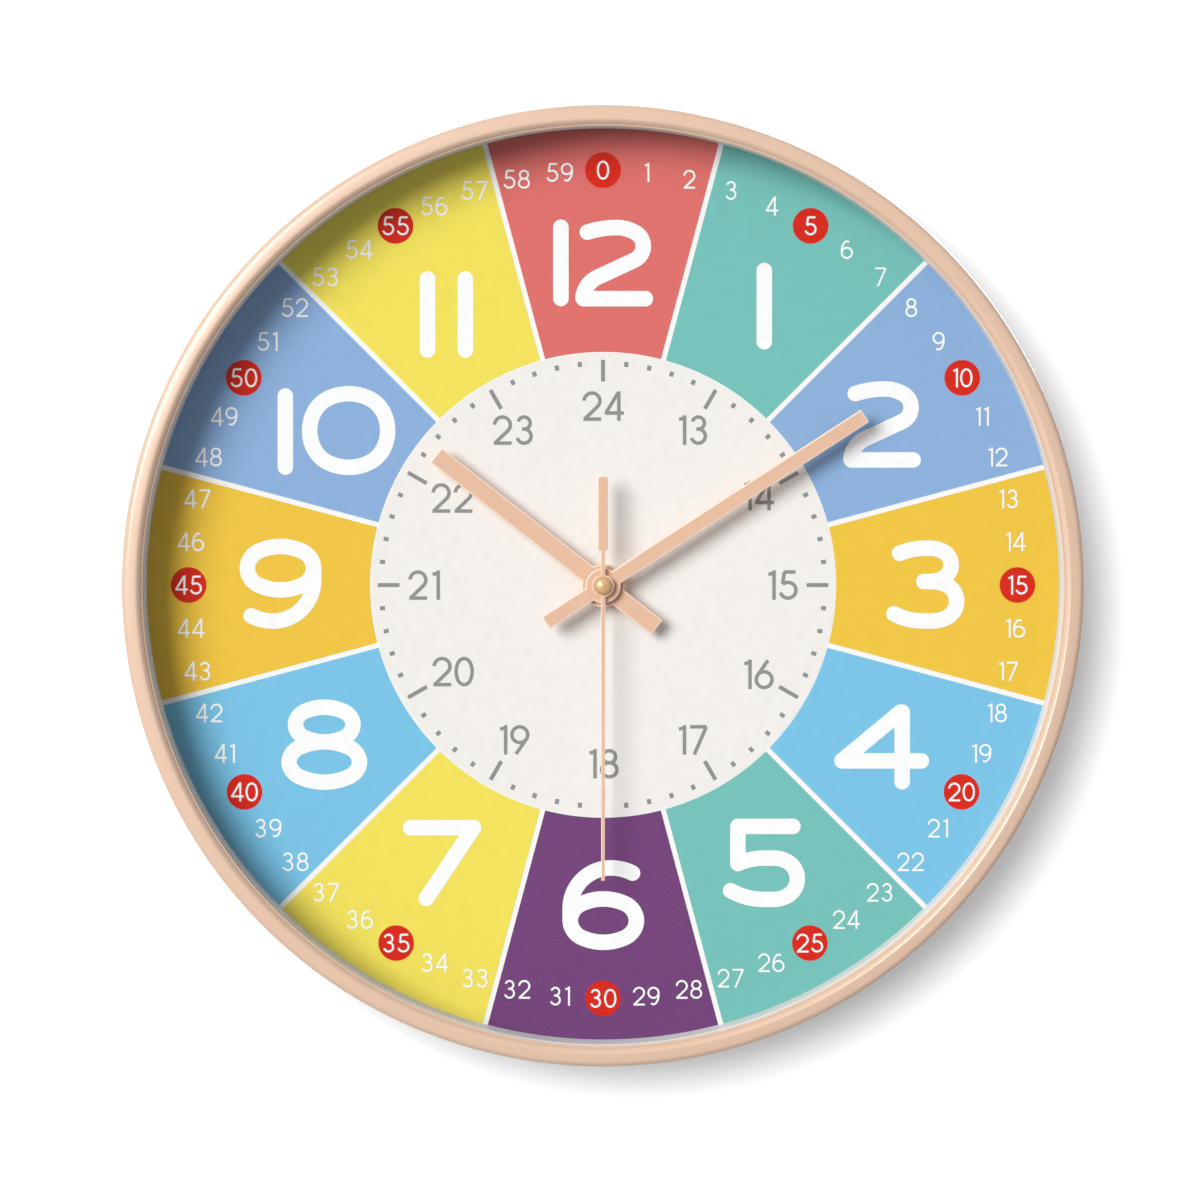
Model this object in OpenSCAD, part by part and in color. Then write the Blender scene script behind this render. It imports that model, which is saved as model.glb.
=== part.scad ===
// Teaching wall clock: a round moulded case, a printed dial behind glass, three hands
// and a battery quartz movement with its full gear train. Lengths are millimetres.
// Each piece is drawn with z running from the wall towards the reader, x to the right
// and y up. hang() then stands it upright, dial towards -Y, wall plane at y = 0.

/* [Case] */
// Outside diameter of the frame
frame_d = 300; // [260:1:340]
// Thickness of the frame's outer wall
frame_wall = 1.6; // [1.4:0.1:2]
// Width of the front ring, seen from the front
ring_w = 6.6; // [6:0.1:9]
// Height of the front ring ahead of the lens
ring_t = 3; // [2.6:0.1:5]
// Fall of the front ring's face from its inner to its outer edge
ring_fall = 1; // [0.2:0.1:1.2]
// Rounding of the front ring's outer edge
outer_round = 2; // [0.8:0.1:2]
// Rounding of the front ring's inner edge
inner_round = 2.1; // [0.8:0.1:2.4]
// Overlap of the front ring on the lens
lens_lap = 1.2; // [0.8:0.1:1.6]
// Thickness of the lens
lens_t = 2; // [1.5:0.1:3]
// Thickness of the rib that centres the lens
rib_t = 1.4; // [1:0.1:1.6]
// Height of the rib that centres the lens
rib_h = 6.5; // [4:0.5:9]
// Distance from the dial to the lens
dial_well = 15.2; // [14:0.2:20]
// Wall of the spacer ring at the dial
spacer_foot = 2.3; // [1.8:0.1:3]
// Wall of the spacer ring at the lens
spacer_head = 1.3; // [1:0.1:1.6]
// Thickness of the printed dial
dial_t = 0.5; // [0.3:0.1:1]

/* [Back plate] */
// Thickness of the back plate
plate_t = 2; // [1.6:0.1:3]
// Height of the stiffening ribs
plate_rib_h = 3; // [2:0.5:6]
// Thickness of the stiffening ribs
plate_rib_w = 1.5; // [1:0.1:2]
// Number of radial ribs
plate_ribs = 12; // [6:2:18]
// Height of the wall that locates the movement
pocket_h = 4; // [2:0.5:8]
// Number of screws that hold the back plate
plate_screw_count = 6; // [4:1:10]
// Width of a screw ear
ear_w = 7; // [6:0.5:10]

/* [Hanger] */
// Distance from the frame's top edge to the centre of the hanging hole
hanger_drop = 34; // [28:1:60]
// Distance between the two hanger screws
hanger_pitch = 28; // [26:1:36]
// Height of the hanger plate
hanger_h = 24; // [20:1:30]
// Thickness of the hanger plate
hanger_t = 1.2; // [1:0.1:2]
// Distance from the wall to the hanger plate
hanger_gap = 4; // [3:0.5:6]
// Diameter of the round part of the hanging hole
keyhole_d = 9; // [8:0.5:11]
// Width of the hanging slot
slot_w = 4.2; // [3.5:0.1:5]
// Rise of the hanging slot above the round hole
slot_rise = 8; // [6:0.5:9]

/* [Screws] */
// Shank diameter of the screws
screw_d = 1.9; // [1.6:0.1:2.2]
// Head diameter of the screws
screw_head_d = 3.4; // [3:0.1:3.6]
// Head height of the screws
screw_head_h = 1.2; // [0.8:0.1:1.6]
// Shank length of the screws
screw_len = 7; // [5:0.5:10]

/* [Movement] */
// Distance from the wall to the movement
wall_gap = 4; // [3.5:0.1:8]
// Wall thickness of the movement's case and cover
case_wall = 1.2; // [1:0.1:1.6]
// Thickness of the bridge that carries the rear pivots
bridge_t = 1.2; // [1:0.1:1.6]
// Thickness of the cushion washer
cushion_t = 0.8; // [0.5:0.1:1.5]
// Diameter of the cushion washer
cushion_d = 20; // [16:1:26]
// Diameter of the mounting bushing
bushing_d = 8; // [7.5:0.1:10]
// Thickness of the mounting washer
washer_t = 0.5; // [0.4:0.1:1]
// Diameter of the mounting washer
washer_d = 13; // [12:0.5:15]
// Mounting nut, width across flats
nut_af = 11; // [10.5:0.5:13]
// Thickness of the mounting nut
nut_t = 2.5; // [2:0.1:3]
// Diameter of the setting knob
knob_d = 12; // [9:0.5:15]
// Thickness of the setting knob
knob_t = 2.4; // [2:0.1:2.8]
// Number of grip flutes on the setting knob
knob_flutes = 24; // [12:1:36]

/* [Battery] */
// Diameter of the dry cell
cell_d = 14.5; // [13.5:0.1:15]
// Length of the dry cell without its tip
cell_len = 49.3; // [48:0.1:51]
// Diameter of the cell's positive tip
tip_d = 5.5; // [4:0.1:6]
// Height of the cell's positive tip
tip_h = 1.2; // [1:0.1:1.6]
// Thickness of the contact strip
contact_t = 0.4; // [0.3:0.1:0.6]
// Width of the contact strip
contact_w = 8; // [5:0.5:10]
// Spring depth of the folded negative contact
contact_fold = 2.2; // [1.8:0.1:3]

/* [Gear train] */
// Module of the running train
train_module = 0.3; // [0.28:0.01:0.32]
// Module of the motion work and the setting pinion
motion_module = 0.4; // [0.37:0.01:0.42]
// Pressure angle of the teeth
pressure_angle = 25; // [22:1:28]
// Share of each tooth taken off as backlash
backlash = 0.1; // [0.06:0.01:0.2]
// Thickness of the wheels
gear_t = 0.8; // [0.6:0.1:1]
// Free space between wheels on neighbouring levels
level_gap = 1.15; // [1.1:0.05:1.5]
// Length of a pinion beyond its wheel, each way
pinion_over = 0.4; // [0.3:0.05:0.45]
// Diameter of the second arbor
second_d = 1; // [0.8:0.1:1.1]
// Outside diameter of the minute arbor
minute_d = 3.2; // [2.8:0.1:3.4]
// Outside diameter of the hour tube
hour_d = 5; // [4.6:0.1:5.4]
// Diameter of the fixed and turning pins of the other wheels
pin_d = 1; // [0.8:0.1:1.2]
// Radial running clearance of shafts
running = 0.06; // [0.04:0.01:0.1]

/* [Motor] */
// Diameter of the rotor magnet
magnet_d = 4.8; // [4:0.1:5.2]
// Height of the rotor magnet
magnet_h = 3; // [2:0.1:3.2]
// Air gap between the rotor magnet and the stator
air_gap = 0.6; // [0.4:0.1:1]
// Thickness of the stator plate and of the coil core
lamination = 0.8; // [0.6:0.1:1]
// Width of the coil core
core_w = 3.2; // [2.6:0.1:3.6]
// Diameter of the coil bobbin's flanges
bobbin_d = 6.4; // [5.8:0.1:6.8]

/* [Hands] */
// Hour hand, length from the pivot to the end
hour_len = 66.4; // [50:0.2:85]
// Hour hand, width
hour_w = 5.8; // [4:0.1:8]
// Hour hand, length of the tail
hour_tail = 21.4; // [12:0.2:30]
// Hour hand, diameter of the hub
hour_hub = 13.5; // [12.5:0.1:16]
// Minute hand, length from the pivot to the end
minute_len = 97.6; // [80:0.2:112]
// Minute hand, width
minute_w = 4.6; // [3:0.1:6]
// Minute hand, length of the tail
minute_tail = 21.4; // [12:0.2:30]
// Minute hand, diameter of the hub
minute_hub = 10.9; // [9:0.1:12]
// Second hand, length from the pivot to the end
second_len = 92.3; // [80:0.2:112]
// Second hand, width of the needle at the hub
second_w = 1.35; // [1:0.05:2]
// Second hand, width of the needle at the end
second_end_w = 1.1; // [0.8:0.05:1.6]
// Second hand, length of the neck before the counterweight
second_neck = 10.9; // [8:0.1:14]
// Second hand, length of the tail to the counterweight's end
second_tail = 34.3; // [24:0.1:40]
// Second hand, width of the counterweight
second_weight_w = 3.25; // [2:0.05:5]
// Second hand, rounding of the counterweight's corners
second_weight_round = 0.9; // [0.4:0.05:0.95]
// Second hand, diameter of the hub
second_hub = 6.9; // [6:0.1:8]
// Diameter of the domed cap
cap_d = 5.7; // [4.5:0.1:6]
// Height of the domed cap
cap_h = 2.1; // [1.8:0.1:2.6]
// Thickness of the hour and minute blades
blade_t = 0.6; // [0.4:0.1:0.8]
// Thickness of the second blade
second_blade_t = 0.4; // [0.3:0.1:0.6]
// Thickness of the collet flange under a blade
collet_t = 0.8; // [0.6:0.1:1]
// Free space between a hand and the collet of the next
hand_gap = 0.6; // [0.4:0.1:1]
// Angle of the hour hand, clockwise from twelve
hour_angle = 308; // [0:1:359]
// Angle of the minute hand, clockwise from twelve
minute_angle = 57; // [0:1:359]
// Angle of the second hand, clockwise from twelve
second_angle = 180; // [0:1:359]

/* [Hidden] */
$fn = 96;

// Clearances and small allowances
seat = 0.2;      // slip fit of a loose piece in its seat
fit = 0.03;      // push fit of a hand or wheel on its own shaft
wheel_gap = 1.4; // free space round the wheels inside the case
swing = 0.4;     // least space between a turning wheel and a fixed post
past = 0.5;      // overshoot of a cut past the face it opens
pivot_len = 2;   // length of a pivot in its bearing
groove = 0.4;    // width and depth of a screw head's slot

sleeve_wall = 0.6; // wall of a collet's sleeve
flange_w = 0.8;    // width of a collet's flange
clutch_t = 0.2;    // thickness of the clutch spring
clutch_w = 1.6;    // width of the clutch spring
stop_t = 0.3;      // thickness of the stop behind the centre wheel
stop_w = 1;        // width of the stop behind the centre wheel
flute_r = 0.5;     // radius of the knob's grip flutes

// Teeth of each wheel and pinion
rotor_teeth = 10;
inter_teeth = 60;
inter_pinion_teeth = 12;
second_teeth = 60;
second_pinion_teeth = 8;
third_teeth = 60;
third_pinion_teeth = 8;
centre_teeth = 64;
minute_pinion_teeth = 12;
reduction_teeth = 36;
reduction_pinion_teeth = 10;
hour_teeth = 40;
setting_teeth = 18;
addendum = 0.9;   // tooth height above the pitch circle, in modules
dedendum = 1.15;  // tooth depth below the pitch circle, in modules
hole_share = [0.29, 0.11];  // a lightening hole's distance and radius, in pitch diameters

// Centre distances, and the modules of the pairs that share one
rotor_cd = train_module * (rotor_teeth + inter_teeth) / 2;
inter_cd = train_module * (inter_pinion_teeth + second_teeth) / 2;
third_cd = train_module * (second_pinion_teeth + third_teeth) / 2;
centre_module = 2 * third_cd / (third_pinion_teeth + centre_teeth);
reduction_cd = motion_module * (minute_pinion_teeth + reduction_teeth) / 2;
hour_module = 2 * reduction_cd / (reduction_pinion_teeth + hour_teeth);
setting_cd = motion_module * (setting_teeth + reduction_teeth) / 2;

// Directions from one axis to the next, anticlockwise from x
third_dir = 180;
inter_dir = 60;
rotor_dir = 150;
reduction_dir = 0;
setting_dir = 30;
third_at = third_cd * dir(third_dir);
inter_at = inter_cd * dir(inter_dir);
rotor_at = inter_at + rotor_cd * dir(rotor_dir);
reduction_at = reduction_cd * dir(reduction_dir);
setting_at = reduction_at + setting_cd * dir(setting_dir);

// Levels of the movement, from its cover forwards
z_rim = wall_gap + case_wall;
z_bridge = z_rim + seat;
z_train = z_bridge + bridge_t + level_gap / 2;
z_floor = level(5) + gear_t + level_gap - pinion_over / 2;
z_foot = z_floor + case_wall / 2;
z_case = z_floor + case_wall;
z_magnet = level(0) + gear_t + pinion_over + level_gap / 2;
z_stator = z_magnet + (magnet_h - lamination) / 2;
z_core = z_stator + lamination;
z_board = z_core + lamination / 2 + bobbin_d / 2 + level_gap / 2;
board_t = 1;

// Levels of the case, from the movement forwards
z_plate = z_case + cushion_t;
z_dial = z_plate + plate_t;
z_face = z_dial + dial_t;
z_lens = z_face + dial_well;
z_seat = z_lens + lens_t;
frame_depth = z_seat + ring_t;

// Levels of the hands, from the mounting nut forwards
z_nut = z_face + washer_t;
z_bushing = z_nut + nut_t + seat;
z_hour = z_bushing + hand_gap + collet_t;
z_minute = z_hour + blade_t + hand_gap + collet_t;
z_second = z_minute + blade_t + hand_gap + collet_t;
z_cap = z_second + second_blade_t;

// Radii of the case
frame_r = frame_d / 2;
skirt_r = frame_r - frame_wall;
lip_r = frame_r - ring_w;
lens_r = lip_r + lens_lap;
rib_r = lens_r + seat;
dial_r = lens_r - seat;
screw_circle = skirt_r - screw_head_d / 2 - seat;
rib_inset = 5;    // from the plate's edge to its outer ring rib
ear_root = 2;     // overlap of a screw ear on the plate
post_r = screw_head_d / 2 + 1;
hanger_at = [0, frame_r - hanger_drop];
hanger_edge = 2;  // steel left beside a hanger screw's head
hanger_w = hanger_pitch + 2 * (screw_head_d + hanger_edge);
hanger_low = hanger_edge - hanger_h / 2;

// Outline of the movement: the train room above, the battery bay below
centre_tip = tip_r(centre_module, centre_teeth);
third_tip = tip_r(train_module, third_teeth);
setting_tip = tip_r(motion_module, setting_teeth);
bay_len = tip_h + cell_len + 2 * contact_t + contact_fold;
bay_half = bay_len / 2;
room_half = max(bay_half, setting_at[0] + setting_tip + wheel_gap);
room_low = -max(third_tip, centre_tip) - wheel_gap;
stator_web = 1; // least width of the stator beside the rotor hole
stator_left = -room_half + contact_t + stator_web;
stator_right = rotor_at[0] + magnet_d / 2 + air_gap + core_w;
stator_low = rotor_at[1] - magnet_d / 2 - air_gap - stator_web;
stator_high = rotor_at[1] + magnet_d / 2 + air_gap + stator_web;
coil_at = [(stator_left + stator_right) / 2, stator_high + bobbin_d / 2 + seat];
bobbin_len = stator_right - stator_left - 2 * core_w - 2 * seat;
bobbin_wall = 0.8;
tube_r = norm([core_w, lamination]) / 2 + past;
room_high = coil_at[1] + bobbin_d / 2 + wheel_gap;
bay_high = room_low - case_wall;
bay_low = bay_high - cell_d - 2 * seat;
bay_mid = (bay_high + bay_low) / 2;
box_low = bay_low - case_wall;
box_high = room_high + case_wall;
box_half = room_half + case_wall;
corner_r = 3;
cell_at = [-bay_half + contact_t + seat / 2, bay_mid, z_floor - seat - cell_d / 2];
tab = [8, 0.8, 2.5];  // width, thickness and reach of a gripping tab on the cover

// Pillars that carry the bridge, posts that carry the stator, pegs that carry the board
pillar_r = 1.3;
bearing_r = 1.1;
peg_r = 0.7;
boss_r = pillar_r + 0.7;
pillars = [
    third_at + (third_tip + pillar_r + swing) * dir(230),
    reduction_at + (tip_r(motion_module, reduction_teeth) + pillar_r + swing) * dir(324),
    inter_at + (tip_r(train_module, inter_teeth) + pillar_r + level_gap) * dir(24),
    third_at + (third_tip + pillar_r + level_gap) * dir(140)];
stator_posts = [[stator_left, stator_low] + [core_w, core_w] / 2,
    [stator_right, stator_low] + [-core_w, core_w] / 2];
board_low = rotor_at[1] + pillar_r + level_gap / 2;
board_mid = (board_low + room_high) / 2;
peg_inset = 4;    // from the room's side wall to a board peg
board_pegs = [[-room_half + peg_inset, board_mid], [room_half - peg_inset, board_mid]];
chip_at = [room_half * 0.35, board_mid];
chip_r = 2.8;
chip_h = 1.2;
crystal_at = [room_half * 0.62, board_mid];
crystal_d = 2;
crystal_len = 6;
lead_lap = 2;     // overlap of a contact's lead on the circuit board

function dir(a) = [cos(a), sin(a)];
function level(k) = z_train + k * (gear_t + level_gap);
function tip_r(m, teeth) = m * (teeth / 2 + addendum);
function root_r(m, teeth) = m * (teeth / 2 - dedendum);
function involute(a) = tan(a) * 180 / PI - a;
function dome_r(r, h) = (r * r + h * h) / (2 * h);
function sleeve_bore(shaft_d) = shaft_d / 2 + sleeve_wall + fit;

function base_r(m, teeth) = m * teeth / 2 * cos(pressure_angle);

// Half angle of a tooth at radius r, straight and radial inside the base circle
function tooth_half(m, teeth, r) =
    let (spread = involute(acos(min(1, base_r(m, teeth) / r))))
    90 / teeth * (1 - backlash) - spread + involute(pressure_angle);

// Radii at which a flank is drawn: the root, the base circle if it lies above, and the tip
function flank_radii(m, teeth, steps) =
    let (root = root_r(m, teeth), tip = tip_r(m, teeth), low = max(root, base_r(m, teeth)))
    concat(root < low ? [root] : [], [for (i = [0:steps]) low + (tip - low) * i / steps]);

// Outline of a wheel or pinion with a tooth centred on the angle phase
function gear_outline(m, teeth, phase, steps) =
    let (radii = flank_radii(m, teeth, steps), last = len(radii) - 1)
    [for (k = [0:teeth - 1], side = [-1, 1], i = [0:last])
        let (r = radii[side < 0 ? i : last - i])
        r * dir(phase + 360 * k / teeth + side * tooth_half(m, teeth, r))];

// Phase that puts a gap of gear b on the tooth of gear a, with b in the direction d from a
function mesh_phase(d, phase_a, teeth_a, teeth_b) =
    d + 180 - 180 / teeth_b - (phase_a - d) * teeth_a / teeth_b;

inter_phase = mesh_phase(rotor_dir + 180, 0, rotor_teeth, inter_teeth);
second_phase = mesh_phase(inter_dir + 180, 0, inter_pinion_teeth, second_teeth);
third_phase = mesh_phase(third_dir, 0, second_pinion_teeth, third_teeth);
centre_phase = mesh_phase(third_dir + 180, 0, third_pinion_teeth, centre_teeth);
reduction_phase = mesh_phase(reduction_dir, 0, minute_pinion_teeth, reduction_teeth);
hour_phase = mesh_phase(reduction_dir + 180, 0, reduction_pinion_teeth, hour_teeth);
setting_phase = mesh_phase(setting_dir, reduction_phase, reduction_teeth, setting_teeth);

// Stands a piece upright on the wall
module hang() {
    rotate([90, 0, 0]) children();
}

// Solid or bored cylinder between two levels
module round_bar(r, z0, z1, bore = 0) {
    translate([0, 0, z0]) linear_extrude(z1 - z0) ring(r, bore);
}

// Flat ring, or a disc when the bore is 0
module ring(r, bore) {
    difference() {
        circle(r);
        if (bore > 0) circle(bore);
    }
}

// Rectangle between two corners with round corners
module round_box(low, high, r) {
    size = high - low;
    translate(low + [r, 0]) square([size[0] - 2 * r, size[1]]);
    translate(low + [0, r]) square([size[0], size[1] - 2 * r]);
    for (x = [low[0] + r, high[0] - r], y = [low[1] + r, high[1] - r]) translate([x, y]) circle(r);
}

// Outline of the movement's case, grown by a margin
module movement_outline(margin) {
    grown = [margin, margin];
    round_box([-box_half, box_low] - grown, [box_half, box_high] + grown, corner_r + margin);
}

// Waste outside a rounded edge of the front ring: the rounding's centre lies at radius x,
// and its two sides face the directions a and b
module edge_waste(x, r, a, b) {
    fall = atan(ring_fall / ring_w);
    corner = r / cos((b - a) / 2) + past;
    translate([x, frame_depth - (x - lip_r) * tan(fall) - r / cos(fall)]) difference() {
        polygon([[0, 0], r * dir(a), corner * dir((a + b) / 2), r * dir(b)]);
        circle(r);
    }
}

// Section of the front ring, ahead of the lens
module ring_section() {
    facing = 90 - atan(ring_fall / ring_w);
    difference() {
        translate([lip_r, z_seat])
            polygon([[0, 0], [ring_w, 0], [ring_w, ring_t - ring_fall], [0, ring_t]]);
        edge_waste(frame_r - outer_round, outer_round, 0, facing);
        edge_waste(lip_r + inner_round, inner_round, facing, 180);
    }
}

// Copies in a circle
module around(count, start = 0) {
    for (i = [0:count - 1]) rotate(start + 360 * i / count) children();
}

// Toothed disc between two levels
module toothed(m, teeth, phase, steps, z0, z1) {
    translate([0, 0, z0]) linear_extrude(z1 - z0) polygon(gear_outline(m, teeth, phase, steps));
}

// Wheel web with round lightening holes, at a level
module wheel(m, teeth, phase, z, holes = 5) {
    pitch_d = m * teeth;
    difference() {
        toothed(m, teeth, phase, 1, z, z + gear_t);
        around(holes) translate([pitch_d * hole_share[0], 0])
            round_bar(pitch_d * hole_share[1], z - past, z + gear_t + past);
    }
}

// Pinion that reaches past the wheel it drives, at a level
module pinion(m, teeth, phase, z) {
    toothed(m, teeth, phase, 3, z - pinion_over, z + gear_t + pinion_over);
}

// Pan-head screw with its head seated at a level and its shank running forwards
module screw(z) {
    round_bar(screw_d / 2, z - past, z + screw_len);
    difference() {
        round_bar(screw_head_d / 2, z - screw_head_h, z);
        translate([-screw_head_d / 2, -groove / 2, z - screw_head_h - past])
            cube([screw_head_d, groove, past + groove]);
    }
}

module frame() {
    color([0.93, 0.80, 0.72]) hang() {
        rotate_extrude() {
            translate([skirt_r, 0]) square([frame_wall, z_seat]);
            translate([rib_r, z_seat - rib_h]) square([rib_t, rib_h]);
            ring_section();
        }
        around(plate_screw_count, 90) difference() {
            translate([0, 0, z_dial]) linear_extrude(z_seat + past - z_dial) intersection() {
                ring(skirt_r + frame_wall / 2, rib_r + seat / 2);
                translate([0, -ear_w / 2]) square([frame_r, ear_w]);
            }
            translate([screw_circle, 0])
                round_bar((screw_d + fit) / 2, z_dial - past, z_dial + screw_len);
        }
    }
}

module lens() {
    color([0.86, 0.92, 0.93, 0.35]) hang() round_bar(lens_r, z_lens, z_seat);
}

module spacer_ring() {
    outer = lens_r - seat / 2;
    color("whitesmoke") hang() rotate_extrude() polygon([[outer - spacer_foot, z_face],
        [outer, z_face], [outer, z_lens], [outer - spacer_head, z_lens]]);
}

module dial_sheet() {
    color("ivory") hang() round_bar(dial_r, z_dial, z_face, bushing_d / 2 + seat);
}

// Ribs of the back plate: two rings, the radial ribs and the wall round the movement
module plate_ribbing() {
    inner = norm([box_half, max(box_high, -box_low)]) + 2 * plate_rib_w;
    outer = dial_r - rib_inset;
    translate([0, 0, z_plate - plate_rib_h]) linear_extrude(plate_rib_h) {
        ring(inner + plate_rib_w, inner);
        ring(outer, outer - plate_rib_w);
        around(plate_ribs, 90 + 180 / plate_ribs)
            translate([inner, -plate_rib_w / 2])
                square([outer - inner - plate_rib_w / 2, plate_rib_w]);
    }
    translate([0, 0, z_plate - pocket_h]) linear_extrude(pocket_h) difference() {
        movement_outline(plate_rib_w + seat);
        movement_outline(seat);
    }
}

module back_plate() {
    ear_r = skirt_r - 1.5 * seat;
    hanger_front = hanger_gap + hanger_t;
    color("white") hang() difference() {
        union() {
            round_bar(dial_r, z_plate, z_dial);
            translate([0, 0, z_plate]) linear_extrude(plate_t) around(plate_screw_count, 90)
                intersection() {
                    ring(ear_r, dial_r - ear_root);
                    translate([0, -ear_w / 2]) square([frame_r, ear_w]);
                }
            plate_ribbing();
            for (side = [-1, 1]) translate([side * hanger_pitch / 2, hanger_at[1]])
                round_bar(post_r, hanger_front, z_plate + plate_t / 2);
        }
        round_bar(bushing_d / 2 + seat, z_plate - past, z_dial + past);
        around(plate_screw_count, 90) translate([screw_circle, 0])
            round_bar(screw_d / 2 + seat, z_plate - past, z_dial + past);
        for (side = [-1, 1]) translate([side * hanger_pitch / 2, hanger_at[1]])
            round_bar((screw_d + fit) / 2, hanger_front - past, hanger_front + screw_len + past);
    }
}

module plate_screws() {
    color("silver") hang() around(plate_screw_count, 90) translate([screw_circle, 0]) screw(z_plate);
}

module hanger_plate() {
    color("lightsteelblue") hang() translate([hanger_at[0], hanger_at[1], hanger_gap])
        linear_extrude(hanger_t) difference() {
            round_box([-hanger_w / 2, hanger_low], [hanger_w / 2, hanger_low + hanger_h], corner_r);
            circle(d = keyhole_d);
            translate([-slot_w / 2, 0]) square([slot_w, slot_rise]);
            translate([0, slot_rise]) circle(d = slot_w);
            for (side = [-1, 1]) translate([side * hanger_pitch / 2, 0]) circle(screw_d / 2 + seat);
        }
}

module hanger_screws() {
    color("silver") hang() for (side = [-1, 1])
        translate([side * hanger_pitch / 2, hanger_at[1]]) screw(hanger_gap);
}

// Bearing post standing on the floor of the case, bored for a pivot
module bearing_post(at, z0) {
    translate(at) difference() {
        round_bar(bearing_r, z0, z_foot);
        round_bar(pin_d / 2 + running, z0 - past, z0 + pivot_len);
    }
}

// Shouldered post standing on the floor of the case, with a locating peg
module pegged_post(at, z_shoulder, peg_len) {
    translate(at) {
        round_bar(pillar_r, z_shoulder, z_foot);
        round_bar(peg_r, z_shoulder - peg_len, z_shoulder + past);
    }
}

module movement_case() {
    color([0.16, 0.16, 0.17]) hang() {
        difference() {
            union() {
                translate([0, 0, z_rim]) linear_extrude(z_case - z_rim) movement_outline(0);
                round_bar(bushing_d / 2, z_case - past, z_bushing);
            }
            translate([0, 0, z_rim - past]) linear_extrude(z_floor - z_rim + past) {
                round_box([-room_half, room_low], [room_half, room_high], corner_r - case_wall);
                translate([-bay_half, bay_low]) square([bay_len, bay_high - bay_low]);
                for (side = [-1, 1])
                    translate([side * (bay_half - contact_t) - contact_t, bay_high - past])
                        square([2 * contact_t, case_wall + corner_r]);
            }
            round_bar(hour_d / 2 + running, z_floor - past, z_bushing + past);
            translate(setting_at) round_bar(pin_d / 2 + running, z_floor - past, z_foot);
        }
        for (at = pillars) pegged_post(at, z_bridge + bridge_t, bridge_t);
        for (at = stator_posts) pegged_post(at, z_core, lamination);
        for (at = board_pegs) pegged_post(at, z_board + board_t, board_t);
        bearing_post(third_at, level(3) + gear_t + pinion_over + seat);
        bearing_post(inter_at, level(1) + gear_t + pinion_over + seat);
        bearing_post(rotor_at, z_magnet + magnet_h + seat);
        translate(reduction_at) round_bar(pin_d / 2, level(4) - pinion_over, z_foot);
    }
}

module train_bridge() {
    color("gainsboro") hang() translate([0, 0, z_bridge]) linear_extrude(bridge_t) difference() {
        union() {
            polygon([pillars[0], pillars[1], pillars[2], rotor_at, pillars[3]]);
            for (at = pillars) translate(at) circle(boss_r);
            translate(rotor_at) circle(boss_r);
        }
        for (at = pillars) translate(at) circle(peg_r + fit);
        for (at = [inter_at, third_at, rotor_at]) translate(at) circle(pin_d / 2 + running);
        circle(second_d / 2 + running);
    }
}

// Cover of the train room, with three tabs that grip the inside of the case
module movement_cover() {
    reach = (tab[1] + seat) / 2;
    color([0.16, 0.16, 0.17]) hang() {
        translate([0, 0, wall_gap]) linear_extrude(case_wall) difference() {
            round_box([-box_half, bay_high], [box_half, box_high], corner_r);
            translate(setting_at) circle(pin_d + running);
        }
        for (spot = [[room_half - reach, 0, 90], [reach - room_half, 0, 90], [0, room_high - reach, 0]])
            translate([spot[0], spot[1], z_rim + (tab[2] - past) / 2]) rotate(spot[2])
                cube(tab + [0, 0, past], center = true);
    }
}

module cushion_washer() {
    color("dimgray") hang() round_bar(cushion_d / 2, z_case, z_plate, bushing_d / 2 + seat);
}

module mounting_washer() {
    color("gold") hang() round_bar(washer_d / 2, z_face, z_nut, bushing_d / 2 + seat);
}

module mounting_nut() {
    color("gold") hang() difference() {
        translate([0, 0, z_nut]) cylinder(d = nut_af / cos(30), h = nut_t, $fn = 6);
        round_bar(bushing_d / 2 + fit, z_nut - past, z_nut + nut_t + past);
    }
}

module stator() {
    limb_high = coil_at[1] + core_w / 2;
    color("lightgray") hang() translate([0, 0, z_stator]) linear_extrude(lamination) difference() {
        union() {
            translate([stator_left, stator_low])
                square([stator_right - stator_left, stator_high - stator_low]);
            for (x = [stator_left, stator_right - core_w])
                translate([x, stator_low]) square([core_w, limb_high - stator_low]);
        }
        translate(rotor_at) circle(magnet_d / 2 + air_gap);
        for (at = stator_posts) translate(at) circle(peg_r + fit);
    }
}

module coil_core() {
    color("lightgray") hang() translate([stator_left, coil_at[1] - core_w / 2, z_core])
        cube([stator_right - stator_left, core_w, lamination]);
}

// Draws along the coil's axis, with the core's middle at the origin
module along_coil() {
    translate([coil_at[0], coil_at[1], z_core + lamination / 2]) rotate([0, 90, 0]) children();
}

module coil_bobbin() {
    color("ivory") hang() along_coil() difference() {
        union() {
            round_bar(tube_r, -bobbin_len / 2, bobbin_len / 2);
            for (end = [-1, 1]) translate([0, 0, end * (bobbin_len - bobbin_wall) / 2])
                cylinder(d = bobbin_d, h = bobbin_wall, center = true);
        }
        cube([lamination + 2 * fit, core_w + 2 * fit, bobbin_len + 2 * past], center = true);
    }
}

module coil_winding() {
    half = bobbin_len / 2 - bobbin_wall - fit;
    color("peru") hang() along_coil() round_bar(bobbin_d / 2 - seat, -half, half, tube_r + fit);
}

module circuit_board() {
    half = room_half - contact_t - seat;
    color("seagreen") hang() translate([0, 0, z_board]) linear_extrude(board_t) difference() {
        round_box([-half, board_low], [half, room_high - seat], corner_r - case_wall);
        for (at = board_pegs) translate(at) circle(peg_r + fit);
    }
}

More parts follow.
